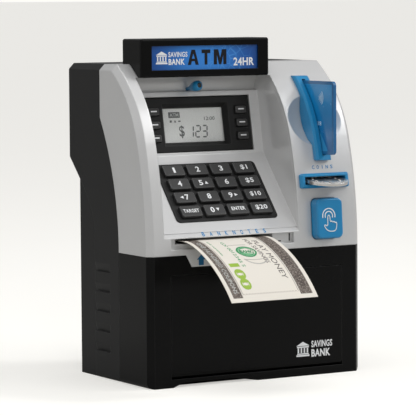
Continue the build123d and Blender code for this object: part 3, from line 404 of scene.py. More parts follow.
def buildClearPlastic():
    material, tree, shader = newMaterial(
        "clearPlastic", {"Alpha": 0.1, "Base Color": (0.9, 0.92, 0.92, 1), "Specular IOR Level": 0.3}
    )
    place = put(tree, "TexCoord").outputs["Object"]
    smear = put(tree, "TexNoise", {"Vector": place, "Scale": 60.0, "Detail": 3.0})
    rough = put(tree, "MapRange", {"Value": smear.outputs["Fac"], "To Min": 0.0, "To Max": 0.05})
    tree.links.new(rough.outputs["Result"], shader.inputs["Roughness"])
    return material


made["clear_plastic"] = buildClearPlastic()


# printed sheets: sign, card and note
def band(tree, value, low, high, blur):
    # 1 between low and high, 0 outside
    rise = put(tree, "MapRange", {"Value": value, "From Min": low, "From Max": low + blur})
    fall = put(tree, "MapRange", {"Value": value, "From Min": high, "From Max": high - blur})
    both = put(tree, "Math", {0: rise.outputs["Result"], 1: fall.outputs["Result"]}, operation="MULTIPLY")
    return both.outputs["Value"]


def mixColor(tree, amount, first, second):
    return put(tree, "MixRGB", {"Fac": amount, "Color1": first, "Color2": second}).outputs["Color"]


sign = {"middle": (0.035, 0.21, 0.62, 1), "edge": (0.012, 0.075, 0.3, 1), "figure": (0.09, 0.34, 0.78, 1)}


def buildSignSheet():
    low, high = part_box("sign_panel")
    centre, half = (low + high) / 2, (high - low) / 2
    material, tree, shader = newMaterial(
        "signSheet", {"Coat Weight": 0.3, "Coat Roughness": 0.08, "Specular IOR Level": 0.3}
    )
    place = put(tree, "TexCoord").outputs["Object"]
    local = put(tree, "Mapping", {"Vector": place, "Location": tuple(-centre)})
    axes = put(tree, "SeparateXYZ", {0: local.outputs["Vector"]})
    across = put(tree, "Math", {0: axes.outputs["X"]}, operation="ABSOLUTE")
    fade = put(
        tree, "MapRange", {"Value": across.outputs["Value"], "From Min": half.x * 0.15, "From Max": half.x},
        interpolation_type="SMOOTHSTEP"
    )
    ground = mixColor(tree, fade.outputs["Result"], sign["middle"], sign["edge"])
    cells = put(tree, "TexVoronoi", {"Vector": place, "Scale": 190.0}, feature="DISTANCE_TO_EDGE")
    lines = put(
        tree, "MapRange",
        {"Value": cells.outputs["Distance"], "From Min": 0.0, "From Max": 0.06, "To Min": 0.5, "To Max": 0.0}
    )
    field = band(tree, axes.outputs["X"], half.x * -0.1, half.x * 0.95, half.x * 0.3)
    shown = put(tree, "Math", {0: lines.outputs["Result"], 1: field}, operation="MULTIPLY")
    tree.links.new(
        mixColor(tree, shown.outputs["Value"], ground, sign["figure"]), shader.inputs["Base Color"]
    )
    smudge = put(tree, "TexNoise", {"Vector": place, "Scale": 80.0, "Detail": 3.0})
    rough = put(tree, "MapRange", {"Value": smudge.outputs["Fac"], "To Min": 0.16, "To Max": 0.3})
    tree.links.new(rough.outputs["Result"], shader.inputs["Roughness"])
    return material


card = {
    "rim": (0.008, 0.12, 0.3, 1), "top": (0.008, 0.27, 0.6, 1), "foot": (0.003, 0.1, 0.3, 1),
    "stripe": (0.06, 0.42, 0.75, 1), "rimWidth": 2.2 * mm, "rimBlur": 0.2 * mm, "slant": 38,
    "wideStripe": (-0.012, 0.004), "thinStripe": (0.008, 0.012), "stripeBlur": 0.0006, "stripeShare": 0.45
}


def buildCardSheet():
    low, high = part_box("bank_card")
    centre, half = (low + high) / 2, (high - low) / 2
    material, tree, shader = newMaterial(
        "cardSheet", {"Coat Weight": 0.5, "Coat Roughness": 0.06, "Specular IOR Level": 0.45}
    )
    place = put(tree, "TexCoord").outputs["Object"]
    local = put(tree, "Mapping", {"Vector": place, "Location": tuple(-centre)})
    axes = put(tree, "SeparateXYZ", {0: local.outputs["Vector"]})
    climb = put(tree, "MapRange", {"Value": axes.outputs["Z"], "From Min": -half.z, "From Max": half.z})
    ground = mixColor(tree, climb.outputs["Result"], card["foot"], card["top"])
    slant = put(
        tree, "Mapping", {"Vector": local.outputs["Vector"], "Rotation": (math.radians(card["slant"]), 0, 0)}
    )
    slantAxes = put(tree, "SeparateXYZ", {0: slant.outputs["Vector"]})
    wide = band(tree, slantAxes.outputs["Y"], *card["wideStripe"], card["stripeBlur"])
    thin = band(tree, slantAxes.outputs["Y"], *card["thinStripe"], card["stripeBlur"])
    both = put(tree, "Math", {0: wide, 1: thin}, operation="ADD")
    soft = put(tree, "Math", {0: both.outputs["Value"], 1: card["stripeShare"]}, operation="MULTIPLY")
    figured = mixColor(tree, soft.outputs["Value"], ground, card["stripe"])
    inside = put(tree, "Math", {
        0: band(
            tree, axes.outputs["Y"], -half.y + card["rimWidth"], half.y - card["rimWidth"], card["rimBlur"]
        ),
        1: band(
            tree, axes.outputs["Z"], -half.z + card["rimWidth"], half.z - card["rimWidth"], card["rimBlur"]
        ),
    }, operation="MULTIPLY")
    tree.links.new(mixColor(tree, inside.outputs["Value"], card["rim"], figured), shader.inputs["Base Color"])
    scuff = put(tree, "TexNoise", {"Vector": place, "Scale": 240.0, "Detail": 4.0})
    rough = put(tree, "MapRange", {"Value": scuff.outputs["Fac"], "To Min": 0.12, "To Max": 0.34})
    tree.links.new(rough.outputs["Result"], shader.inputs["Roughness"])
    bump = put(tree, "Bump", {"Strength": 0.05, "Distance": 0.0001, "Height": scuff.outputs["Fac"]})
    tree.links.new(bump.outputs["Normal"], shader.inputs["Normal"])
    return material


made["sign_blue"] = buildSignSheet()
made["card_blue"] = buildCardSheet()
print("finishes ready")

for name, piece in nodes.items():
    slotName = piece.data.materials[0].name.split(".")[0]
    if slotName in made:
        piece.data.materials.clear()
        piece.data.materials.append(made[slotName])
print("finishes on the moulded pieces")


# laying prints and small pieces on the faces
def faceOf(node, lean=90.0, side=None):
    # the plane on a node's outermost face: its middle, with right, up and outward axes
    slope = math.radians(lean)
    right = Vector((1, 0, 0))
    up = Vector((0, math.cos(slope), math.sin(slope)))
    if side == "left":
        right, up = Vector((0, -1, 0)), Vector((0, 0, 1))
    out = right.cross(up)
    points = [v.co for v in nodes[node].data.vertices]
    spans = [
        (min(p.dot(axis) for p in points), max(p.dot(axis) for p in points)) for axis in (right, up, out)
    ]
    middle = right * sum(spans[0]) / 2 + up * sum(spans[1]) / 2 + out * spans[2][1]
    matrix = Matrix((right, up, out)).transposed().to_4x4()
    matrix.translation = middle
    return matrix


def at(matrix, x, y, turn=0.0):
    return matrix @ Matrix.Translation((x * mm, y * mm, 0)) @ Matrix.Rotation(math.radians(turn), 4, "Z")


lettering = {"extrude": 0.01, "depth": 5 * mm, "resolution": 3}


def wordMesh(words, width, height, bold=0.0, spacing=1.0):
    # lettering fitted to a width and height in millimetres, 0.1 mm thick about its own plane
    curve = bpy.data.curves.new("lettering", "FONT")
    curve.body = words
    curve.size = 1.0
    curve.offset = bold
    curve.space_character = spacing
    curve.extrude = lettering["extrude"]
    curve.resolution_u = lettering["resolution"]
    holder = bpy.data.objects.new("lettering", curve)
    scene.collection.objects.link(holder)
    bpy.context.view_layer.update()
    mesh = bpy.data.meshes.new_from_object(holder.evaluated_get(bpy.context.evaluated_depsgraph_get()))
    bpy.data.objects.remove(holder)
    bpy.data.curves.remove(curve)
    xs, ys = [v.co.x for v in mesh.vertices], [v.co.y for v in mesh.vertices]
    middle = Matrix.Translation((-(min(xs) + max(xs)) / 2, -(min(ys) + max(ys)) / 2, 0))
    scale = Matrix.Diagonal(
        (width * mm / (max(xs) - min(xs)), height * mm / (max(ys) - min(ys)), lettering["depth"], 1)
    )
    mesh.transform(scale @ middle)
    return mesh


def outlineMesh(points, thickness=0.1):
    # a flat closed shape in millimetres
    bm = bmesh.new()
    face = bm.faces.new([bm.verts.new((x * mm, y * mm, -thickness / 2 * mm)) for x, y in points])
    if face.normal.z < 0:
        face.normal_flip()
    grown = bmesh.ops.extrude_face_region(bm, geom=[face])
    tops = [v for v in grown["geom"] if isinstance(v, bmesh.types.BMVert)]
    bmesh.ops.translate(bm, verts=tops, vec=(0, 0, thickness * mm))
    bmesh.ops.recalc_face_normals(bm, faces=bm.faces)
    return finishBmesh(bm)


def finishBmesh(bm):
    mesh = bpy.data.meshes.new("shape")
    bm.to_mesh(mesh)
    bm.free()
    return mesh


def box(width, height):
    return [
        (-width / 2, -height / 2), (width / 2, -height / 2), (width / 2, height / 2), (-width / 2, height / 2)
    ]


def discMesh(width, height, thickness=0.1, segments=48):
    bm = bmesh.new()
    bmesh.ops.create_cone(
        bm, cap_ends=True, segments=segments, radius1=0.5 * mm, radius2=0.5 * mm, depth=thickness * mm
    )
    bmesh.ops.scale(bm, vec=(width, height, 1), verts=bm.verts)
    return finishBmesh(bm)


def arcMesh(radius, stroke, start, end, thickness=0.1):
    # part of a ring, in millimetres and degrees
    bm = bmesh.new()
    ring = []
    for r, z in ((-0.5, -0.5), (0.5, -0.5), (0.5, 0.5), (-0.5, 0.5)):
        ring.append(bm.verts.new(((radius + r * stroke) * mm, 0, z * thickness * mm)))
    profile = [bm.edges.new((ring[i], ring[(i + 1) % 4])) for i in range(4)]
    whole = abs(end - start) >= 360
    bmesh.ops.rotate(bm, verts=ring, matrix=Matrix.Rotation(math.radians(start), 3, "Z"))
    steps = max(6, int(abs(end - start) / 9))
    bmesh.ops.spin(
        bm, geom=ring + profile, axis=(0, 0, 1), angle=math.radians(end - start), steps=steps, use_merge=whole
    )
    if not whole:
        loose = [e for e in bm.edges if e.is_boundary]
        bmesh.ops.edgeloop_fill(bm, edges=loose)
    bmesh.ops.remove_doubles(bm, verts=bm.verts, dist=1e-7)
    bmesh.ops.recalc_face_normals(bm, faces=bm.faces)
    return finishBmesh(bm)


def strokeMesh(points, width, closed=False):
    # a rounded line through points in millimetres
    curve = bpy.data.curves.new("stroke", "CURVE")
    curve.dimensions = "3D"
    curve.bevel_depth = width / 2 * mm
    curve.bevel_resolution = 1
    curve.use_fill_caps = True
    curve.resolution_u = 4
    line = curve.splines.new("NURBS")
    line.points.add(len(points) - 1)
    for spot, (x, y) in zip(line.points, points):
        spot.co = (x * mm, y * mm, 0, 1)
    line.order_u = 3
    line.use_endpoint_u = not closed
    line.use_cyclic_u = closed
    holder = bpy.data.objects.new("stroke", curve)
    scene.collection.objects.link(holder)
    bpy.context.view_layer.update()
    mesh = bpy.data.meshes.new_from_object(holder.evaluated_get(bpy.context.evaluated_depsgraph_get()))
    bpy.data.objects.remove(holder)
    bpy.data.curves.remove(curve)
    return mesh


surfaces = {}
inkLift = 0.02
probe = {"lead": 0.01, "reach": 0.03}


def surfaceOf(node):
    if node not in surfaces:
        data = nodes[node].data
        surfaces[node] = BVHTree.FromPolygons(
            [v.co for v in data.vertices], [p.vertices for p in data.polygons]
        )
    return surfaces[node]


def addPiece(name, mesh, material, body):
    mesh.name = name
    mesh.materials.clear()
    mesh.materials.append(made[material])
    piece = bpy.data.objects.new(name, mesh)
    scene.collection.objects.link(piece)
    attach(piece, body)
    return piece


def joined(meshes):
    bm = bmesh.new()
    for mesh in meshes:
        bm.from_mesh(mesh)
        bpy.data.meshes.remove(mesh)
    return finishBmesh(bm)


def printed(shapes, node, lift=inkLift):
    # every shape is (mesh, matrix): its points are dropped along the plane's normal onto the node
    ground = surfaceOf(node)
    laid = []
    for mesh, matrix in shapes:
        out = matrix.to_3x3() @ Vector((0, 0, 1))
        for v in mesh.vertices:
            spot = matrix @ Vector((v.co.x, v.co.y, 0))
            hit = ground.ray_cast(spot + out * probe["lead"], -out, probe["reach"])[0] or spot
            v.co = hit + out * (v.co.z + lift * mm)
        laid.append(mesh)
    return joined(laid)


def lettered(face, entries):
    # entries are (words, width, height, boldness, spacing, x, y)
    return [(wordMesh(words, width, height, bold, spacing), at(face, x, y))
            for words, width, height, bold, spacing, x, y in entries]


# key caps' lettering
keyPrint = {"lean": 48.7, "bold": 0.022, "spacing": 1.1}
keyLabels = {
    "key_1": [("1", 0, 1.7, 4.4)], "key_2": [("2", 0, 3.0, 4.4)], "key_3": [("3", 0, 3.0, 4.4)],
    "key_add_1": [("$1", 0, 5.4, 4.4)],
    "key_4": [("4", 0, 3.2, 4.4)], "key_5_up": [("5", -1.9, 3.0, 4.4), ("up", 2.3, 2.6, 2.4)],
    "key_6": [("6", 0, 3.0, 4.4)], "key_add_5": [("$5", 0, 6.4, 4.4)],
    "key_7_left": [("left", -2.9, 2.4, 2.6), ("7", 1.2, 3.0, 4.4)], "key_8": [("8", 0, 3.0, 4.4)],
    "key_9_right": [("9", -1.4, 3.0, 4.4), ("right", 2.9, 2.4, 2.6)], "key_add_10": [("$10", 0, 8.6, 4.2)],
    "key_target": [("TARGET", 0, 12.0, 2.9)], "key_0_down": [("0", -1.9, 3.0, 4.4), ("down", 2.3, 2.6, 2.4)],
    "key_enter": [("ENTER", 0, 10.8, 2.9)], "key_add_20": [("$20", 0, 9.4, 4.2)],
}
arrowTurns = {"up": 0, "left": 90, "down": 180, "right": -90}
for node, labels in keyLabels.items():
    face = faceOf(node, keyPrint["lean"])
    shapes = []
    for words, x, width, height in labels:
        if words in arrowTurns:
            triangle = outlineMesh([(-width / 2, -height / 2), (width / 2, -height / 2), (0, height / 2)])
            shapes.append((triangle, at(face, x, 0, arrowTurns[words])))
        else:
            shapes += lettered(face, [(words, width, height, keyPrint["bold"], keyPrint["spacing"], x, 0)])
    addPiece(node + "_label", printed(shapes, node), "whiteInk", node)

screenLean = 79.2
functionLabel = {"count": 6, "width": 4.6, "height": 0.9, "rise": 0.2}
for number in range(1, functionLabel["count"] + 1):
    node = "function_key_%d" % number
    bar = outlineMesh(box(functionLabel["width"], functionLabel["height"]))
    place = at(faceOf(node, screenLean), 0, functionLabel["rise"])
    addPiece(node + "_label", printed([(bar, place)], node), "whiteInk", node)
print("keys lettered")


def bankBadge(face, x, y, size):
    # a plain bank building: steps, four columns and a gable; size is its whole height in millimetres
    unit = size / 10
    blocks = [(10.4, 1.1, 0, -4.4), (9.0, 0.8, 0, -3.2), (9.4, 0.9, 0, 1.4)]
    blocks += [(1.1, 3.3, column, -0.9) for column in (-3.6, -1.2, 1.2, 3.6)]
    gable = [(-5.2 * unit, -1.3 * unit), (5.2 * unit, -1.3 * unit), (0, 1.5 * unit)]
    shapes = [(outlineMesh(gable), at(face, x, y + 3.5 * unit))]
    for width, height, across, rise in blocks:
        block = outlineMesh(box(width * unit, height * unit))
        shapes.append((block, at(face, x + across * unit, y + rise * unit)))
    return shapes


# header sign; the block capitals are closed outlines on a 10 by 10 square
blockSize = 10
blockLetters = {
    "A": [(0, 0), (2.9, 0), (3.7, 2.4), (6.3, 2.4), (7.1, 0), (10, 0), (6.6, 10), (3.4, 10)],
    "T": [(3.6, 0), (6.4, 0), (6.4, 7.6), (9.4, 7.6), (9.4, 10), (0.6, 10), (0.6, 7.6), (3.6, 7.6)],
    "M": [(0, 0), (2.5, 0), (2.5, 6.4), (4.1, 0), (5.9, 0), (7.5, 6.4), (7.5, 0), (10, 0), (10, 10),
          (6.5, 10), (5, 4.2), (3.5, 10), (0, 10)],
}
signPrint = {
    "badge": (-33.6, 0.2, 8.6),
    "words": [
        ("SAVINGS", 14.8, 3.5, 0.022, 1.06, -21.0, 2.3), ("BANK", 12.6, 4.1, 0.03, 1.08, -22.0, -2.6),
        ("24HR", 16.4, 5.4, 0.026, 1.05, 31.0, -3.2)
    ],
    "name": (("A", -9.0, 8.6), ("T", 1.0, 7.8), ("M", 12.2, 10.0)), "nameHeight": 10.2, "nameRise": 0.2,
    "nameLift": 0.03, "eye": [(-1.15, -1.5), (1.15, -1.5), (0, 1.9)], "eyeAt": (-9.0, 0.75), "eyeLift": 0.1,
}
signFace = faceOf("sign_panel")
shapes = bankBadge(signFace, *signPrint["badge"]) + lettered(signFace, signPrint["words"])
addPiece("sign_lettering", printed(shapes, "sign_panel"), "whiteInk", "housing")
shapes = []
for letter, x, width in signPrint["name"]:
    spread, stretch = width / blockSize, signPrint["nameHeight"] / blockSize
    outline = [
        ((px - blockSize / 2) * spread, (py - blockSize / 2) * stretch) for px, py in blockLetters[letter]
    ]
    shapes.append((outlineMesh(outline), at(signFace, x, signPrint["nameRise"])))
nameMesh = printed(shapes, "sign_panel", signPrint["nameLift"])
addPiece("sign_name", nameMesh, "blackInk", "housing")
eye = [(outlineMesh(signPrint["eye"]), at(signFace, *signPrint["eyeAt"]))]
eyeMesh = printed(eye, "sign_panel", signPrint["eyeLift"])
addPiece("sign_name_eye", eyeMesh, "signInk", "housing")

# door badge
doorPrint = {
    "badge": (36.2, 18.4, 10.2),
    "words": [("SAVINGS", 17.0, 4.6, 0.026, 1.06, 51.6, 21.4), ("BANK", 15.4, 5.2, 0.034, 1.08, 50.8, 15.2)],
}
doorFace = faceOf("door")
doorFace.translation = Vector((0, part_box("door")[0].y, 0))
shapes = bankBadge(doorFace, *doorPrint["badge"]) + lettered(doorFace, doorPrint["words"])
addPiece("door_badge", printed(shapes, "door"), "whiteInk", "door")
print("sign and door lettered")


# hood lettering, arrows and the marks at the end of the note slot's recess
hoodPrint = {
    "lines": [
        {
            "word": "BANKNOTES", "start": -41.4, "pitch": 6.0, "height": 101.2, "letter": (2.0, 2.7),
            "bold": 0.025
        },
        {"word": "COINS", "start": 48.6, "pitch": 3.7, "height": 142.2, "letter": (2.0, 2.5), "bold": 0.02},
    ],
    "narrow": 0.6,
    "arrow": [(-1.9, -3.6), (1.9, -3.6), (1.9, 0.2), (3.4, 0.2), (0, 3.6), (-3.4, 0.2), (-1.9, 0.2)],
    "arrowSpots": ((-44.0, 84.4), (6.6, 84.4)),
    "marks": ((0.9, 5.2, 27.4, 95.7), (2.2, 0.8, 19.6, 93.4), (1.4, 0.8, 16.8, 93.2)),
}
hoodFace = faceOf("front_frame")
hoodFace.translation = Vector((0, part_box("front_frame")[0].y, 0))
shapes = []
for line in hoodPrint["lines"]:
    for index, letter in enumerate(line["word"]):
        width = hoodPrint["narrow"] if letter == "I" else line["letter"][0]
        place = at(hoodFace, line["start"] + index * line["pitch"], line["height"])
        shapes.append((wordMesh(letter, width, line["letter"][1], line["bold"]), place))
addPiece("hood_lettering", printed(shapes, "front_frame"), "skyInk", "housing")
shapes = [(outlineMesh(hoodPrint["arrow"]), at(hoodFace, x, z)) for x, z in hoodPrint["arrowSpots"]]
addPiece("note_arrows", printed(shapes, "front_frame"), "blueInk", "housing")
shapes = [(outlineMesh(box(width, height)), at(hoodFace, x, z)) for width, height, x, z in hoodPrint["marks"]]
addPiece("slot_marks", printed(shapes, "front_frame"), "blackInk", "housing")


# liquid crystal display
display = {
    "digit": (3.6, 7.8), "stroke": 0.95, "slant": 0.1,
    "figures": (("1", -2.0), ("2", 3.6), ("3", 9.0)), "rise": -4.4,
    "words": [("$", 4.2, 8.8, 0.015, 1.0, -9.2, -4.4), ("12:00", 8.4, 2.5, 0.01, 1.0, 13.6, 4.4)],
    "plate": (9.0, 4.0, -14.2, 7.4), "plateWords": [
        ("ATM", 7.0, 2.4, 0.01, 1.0, -14.2, 7.4)
    ], "plateLift": 0.06,
    "symbols": (
        (box(1.6, 1.6), -17.2), ([(-0.9, -0.8), (0.9, -0.8), (0, 1.0)], -13.8), (box(1.8, 0.9), -10.4)
    ),
    "symbolRise": 3.0,
}
segmentsOf = {"1": "bc", "2": "abged", "3": "abgcd"}


def segmentDigit(figure, x, y):
    width, height = display["digit"]
    stroke, half, slant = display["stroke"], height / 2, display["slant"]
    spots = {
        "a": (0, half, 1), "g": (0, 0, 1), "d": (0, -half, 1),
        "b": (width / 2, half / 2, 0), "c": (width / 2, -half / 2, 0), "e": (-width / 2, -half / 2, 0),
    }
    shapes = []
    for letter in segmentsOf[figure]:
        sx, sy, flat = spots[letter]
        reach = ((width if flat else half) - stroke / 2) / 2
        waist, edge = reach - stroke / 2, stroke / 2
        bar = [(-reach, 0), (-waist, -edge), (waist, -edge), (reach, 0), (waist, edge), (-waist, edge)]
        place = at(lcdFace, x + sx + sy * slant, y + sy, 0 if flat else 90 - math.degrees(slant))
        shapes.append((outlineMesh(bar), place))
    return shapes


lcdFace = faceOf("lcd_module", screenLean)
shapes = []
for figure, x in display["figures"]:
    shapes += segmentDigit(figure, x, display["rise"])
shapes += lettered(lcdFace, display["words"])
plateWidth, plateHeight, plateX, plateY = display["plate"]
shapes.append((outlineMesh(box(plateWidth, plateHeight)), at(lcdFace, plateX, plateY)))
for outline, x in display["symbols"]:
    shapes.append((outlineMesh(outline), at(lcdFace, x, display["symbolRise"])))
addPiece("lcd_figures", printed(shapes, "lcd_module"), "segmentInk", "housing")
shapes = lettered(lcdFace, display["plateWords"])
plateMesh = printed(shapes, "lcd_module", display["plateLift"])
addPiece("lcd_inverse", plateMesh, "lcdPaleInk", "housing")
print("display drawn")


# touch button
touchPrint = {
    "lean": 86.0, "stroke": 0.7, "handDrop": 2.2,
    "hand": [(-2.4, -6.6), (-5.2, -2.8), (-4.4, -1.9), (-2.2, -3.6), (-2.2, 3.6), (-1.3, 4.6), (-0.3, 3.7),
             (-0.2, -0.4), (1.0, 0.5), (1.9, -0.6), (2.9, 0.1), (3.7, -1.0), (4.6, -0.5), (5.1, -1.6),
             (4.8, -4.4), (3.6, -6.8)],
    "arcs": ((3.0, -25, 205), (5.0, -15, 195)), "arcCenter": (-1.2, 1.8), "arcThickness": 0.3,
}
touchFace = faceOf("touch_button", touchPrint["lean"])
hand = [(x, y - touchPrint["handDrop"]) for x, y in touchPrint["hand"]]
shapes = [(strokeMesh(hand, touchPrint["stroke"], closed=True), touchFace)]
for radius, start, end in touchPrint["arcs"]:
    arc = arcMesh(radius, touchPrint["stroke"], start, end, touchPrint["arcThickness"])
    shapes.append((arc, at(touchFace, *touchPrint["arcCenter"])))
addPiece("touch_mark", printed(shapes, "touch_button", 0.0), "whiteInk", "touch_button")

# bank card print
cardPrint = {
    "arcs": 4, "arcStart": 2.0, "arcPitch": 1.5, "arcStroke": 0.6, "arcSpread": 42, "arcCenter": (20.0, 13.5),
    "figures": ("1112", "1314", "1516", "1718"), "figureSize": (9.6, 2.8), "figureStart": -27.0,
    "figurePitch": 15.5, "figureRise": -4.0,
    "words": [("SAVINGS CARD", 27.0, 3.0, 0.01, 1.0, -18.0, -14.0)],
    "chip": (9.5, 7.5, 0.2), "chipCenter": (-24.0, 9.0),
}
cardFace = faceOf("bank_card", side="left")
shapes = []
for step in range(cardPrint["arcs"]):
    radius = cardPrint["arcStart"] + step * cardPrint["arcPitch"]
    arc = arcMesh(radius, cardPrint["arcStroke"], -cardPrint["arcSpread"], cardPrint["arcSpread"])
    shapes.append((arc, at(cardFace, *cardPrint["arcCenter"])))
for index, figures in enumerate(cardPrint["figures"]):
    x = cardPrint["figureStart"] + index * cardPrint["figurePitch"]
    shapes.append((wordMesh(figures, *cardPrint["figureSize"]), at(cardFace, x, cardPrint["figureRise"])))
shapes += lettered(cardFace, cardPrint["words"])
addPiece("card_print", printed(shapes, "bank_card"), "paleInk", "bank_card")
chipWidth, chipHeight, chipThickness = cardPrint["chip"]
chip = outlineMesh(box(chipWidth, chipHeight), chipThickness)
chipMesh = printed([(chip, at(cardFace, *cardPrint["chipCenter"]))], "bank_card")
addPiece("card_chip", chipMesh, "brass", "bank_card")
print("button and card printed")


# banknote: a sheet bent along two arcs, with its print laid in its own length and width
note = {
    "width": 66.3 * mm, "length": 156.0 * mm, "thickness": 0.3 * mm, "center": -24.3 * mm,
    "mouth": (-53.0 * mm, 97.2 * mm), "bend": (-65.0 * mm, 95.5 * mm), "tip": (-116.0 * mm, 62.0 * mm),
    "paper": (0.72, 0.68, 0.61, 1), "paperDrift": (0.77, 0.73, 0.66, 1), "border": (0.09, 0.07, 0.06, 1),
    "borderPale": (0.5, 0.45, 0.4, 1), "leftLace": (-30.6, -23.0), "rightLace": (21.0, 30.4),
    "laceLength": (3.0, 153.0), "leftLine": (-22.6, -22.1), "rightLine": (20.0, 20.5),
    "lineLength": (6.0, 150.0), "dotRow": (5.2, 6.6), "dotSpan": (-23.0, 21.0), "grid": (16, 80),
}


def arcRun(start, end, heading):
    run, drop = start[0] - end[0], start[1] - end[1]
    turn = 2 * (math.atan2(drop, run) - heading)
    return math.hypot(run, drop) / 2 / math.sin(turn / 2), turn


firstRadius, firstTurn = arcRun(note["mouth"], note["bend"], 0.0)
secondRadius, secondTurn = arcRun(note["bend"], note["tip"], firstTurn)
outside = firstRadius * firstTurn + secondRadius * secondTurn


def noteSpot(across, fromTip, lift):
    # a point on the bent sheet: across from its middle, along from its outer edge
    along = outside - fromTip
    y, z = note["mouth"]
    angle = 0.0
    if along <= 0:
        y -= along
    else:
        angle = min(along / firstRadius, firstTurn)
        y -= firstRadius * math.sin(angle)
        z -= firstRadius * (1 - math.cos(angle))
        if along > firstRadius * firstTurn:
            more = (along - firstRadius * firstTurn) / secondRadius
            y -= secondRadius * (math.sin(firstTurn + more) - math.sin(firstTurn))
            z -= secondRadius * (math.cos(firstTurn) - math.cos(firstTurn + more))
            angle = firstTurn + more
    return Vector((note["center"] + across, y - lift * math.sin(angle), z + lift * math.cos(angle)))


def buildNotePaper():
    material, tree, shader = newMaterial("notePaper", {"Specular IOR Level": 0.2})
    place = put(tree, "UVMap", uv_map="flat").outputs["UV"]
    axes = put(tree, "SeparateXYZ", {0: place})
    across, along = axes.outputs["X"], axes.outputs["Y"]
    fibre = put(tree, "TexNoise", {"Vector": place, "Scale": 2.5, "Detail": 6.0})
    paper = mixColor(tree, fibre.outputs["Fac"], note["paper"], note["paperDrift"])
    scroll = put(tree, "TexVoronoi", {"Vector": place, "Scale": 0.75}, feature="DISTANCE_TO_EDGE")
    weave = put(
        tree, "TexWave", {"Vector": place, "Scale": 0.42, "Distortion": 7.0, "Detail": 2.0}, wave_type="RINGS"
    )
    lace = put(tree, "Math", {0: scroll.outputs["Distance"], 1: weave.outputs["Fac"]}, operation="MULTIPLY")
    ornate = put(tree, "MapRange", {"Value": lace.outputs["Value"], "From Min": 0.02, "From Max": 0.28})
    ornament = mixColor(tree, ornate.outputs["Result"], note["border"], note["borderPale"])
    left = band(tree, across, *note["leftLace"], 0.35)
    right = band(tree, across, *note["rightLace"], 0.35)
    sides = put(tree, "Math", {0: left, 1: right}, operation="ADD")
    inLength = band(tree, along, *note["laceLength"], 0.4)
    masked = put(tree, "Math", {0: sides.outputs["Value"], 1: inLength}, operation="MULTIPLY")
    bandEdge = put(
        tree, "Math",
        {0: band(tree, across, *note["leftLine"], 0.2), 1: band(tree, across, *note["rightLine"], 0.2)},
        operation="ADD"
    )
    edged = put(
        tree, "Math", {0: bandEdge.outputs["Value"], 1: band(tree, along, *note["lineLength"], 0.3)},
        operation="MULTIPLY"
    )
    beads = put(tree, "TexChecker", {"Vector": place, "Scale": 0.9})
    dots = put(
        tree, "Math", {0: beads.outputs["Fac"], 1: band(tree, along, *note["dotRow"], 0.2)},
        operation="MULTIPLY"
    )
    dotted = put(
        tree, "Math", {0: dots.outputs["Value"], 1: band(tree, across, *note["dotSpan"], 0.3)},
        operation="MULTIPLY"
    )
    color = mixColor(tree, masked.outputs["Value"], paper, ornament)
    color = mixColor(tree, edged.outputs["Value"], color, note["border"])
    color = mixColor(tree, dotted.outputs["Value"], color, note["borderPale"])
    tree.links.new(color, shader.inputs["Base Color"])
    rough = put(tree, "MapRange", {"Value": fibre.outputs["Fac"], "To Min": 0.55, "To Max": 0.75})
    tree.links.new(rough.outputs["Result"], shader.inputs["Roughness"])
    crumple = put(tree, "TexNoise", {"Vector": place, "Scale": 0.12, "Detail": 3.0})
    bump = put(tree, "Bump", {"Strength": 0.25, "Distance": 0.0004, "Height": crumple.outputs["Fac"]})
    tree.links.new(bump.outputs["Normal"], shader.inputs["Normal"])
    return material


made["note_paper"] = buildNotePaper()


def buildNote():
    bm = bmesh.new()
    bmesh.ops.create_grid(bm, x_segments=note["grid"][0], y_segments=note["grid"][1], size=0.5)
    flat = bm.loops.layers.uv.new("flat")
    for face in bm.faces:
        for loop in face.loops:
            spot = loop.vert.co
            loop[flat].uv = (spot.x * note["width"] / mm, (spot.y + 0.5) * note["length"] / mm)
    for v in bm.verts:
        v.co = noteSpot(v.co.x * note["width"], (v.co.y + 0.5) * note["length"], -note["thickness"] / 2)
    bmesh.ops.recalc_face_normals(bm, faces=bm.faces)
    if sum(f.normal.z for f in bm.faces) < 0:
        bmesh.ops.reverse_faces(bm, faces=bm.faces)
    bmesh.ops.solidify(bm, geom=bm.faces[:], thickness=-note["thickness"])
    mesh = finishBmesh(bm)
    piece = addPiece("note_sheet", mesh, "note_paper", "banknote")
    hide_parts("banknote")


def onNote(shapes):
    # shapes are (mesh, across, from tip, turn), in millimetres and degrees
    for mesh, across, fromTip, turn in shapes:
        spin = Matrix.Rotation(math.radians(turn), 3, "Z")
        for v in mesh.vertices:
            flat = spin @ v.co
            v.co = noteSpot(
                flat.x + across * mm, flat.y + fromTip * mm, note["thickness"] / 2 + v.co.z + inkLift * mm
            )
    return joined([shape[0] for shape in shapes])


def noteWords(entries):
    # entries are (words, width, height, boldness, across, from tip, turn)
    return [(wordMesh(words, width, height, bold), across, fromTip, turn)
            for words, width, height, bold, across, fromTip, turn in entries]


def addNotePrint(name, shapes, ink):
    addPiece(name, onNote(shapes), ink, "banknote")


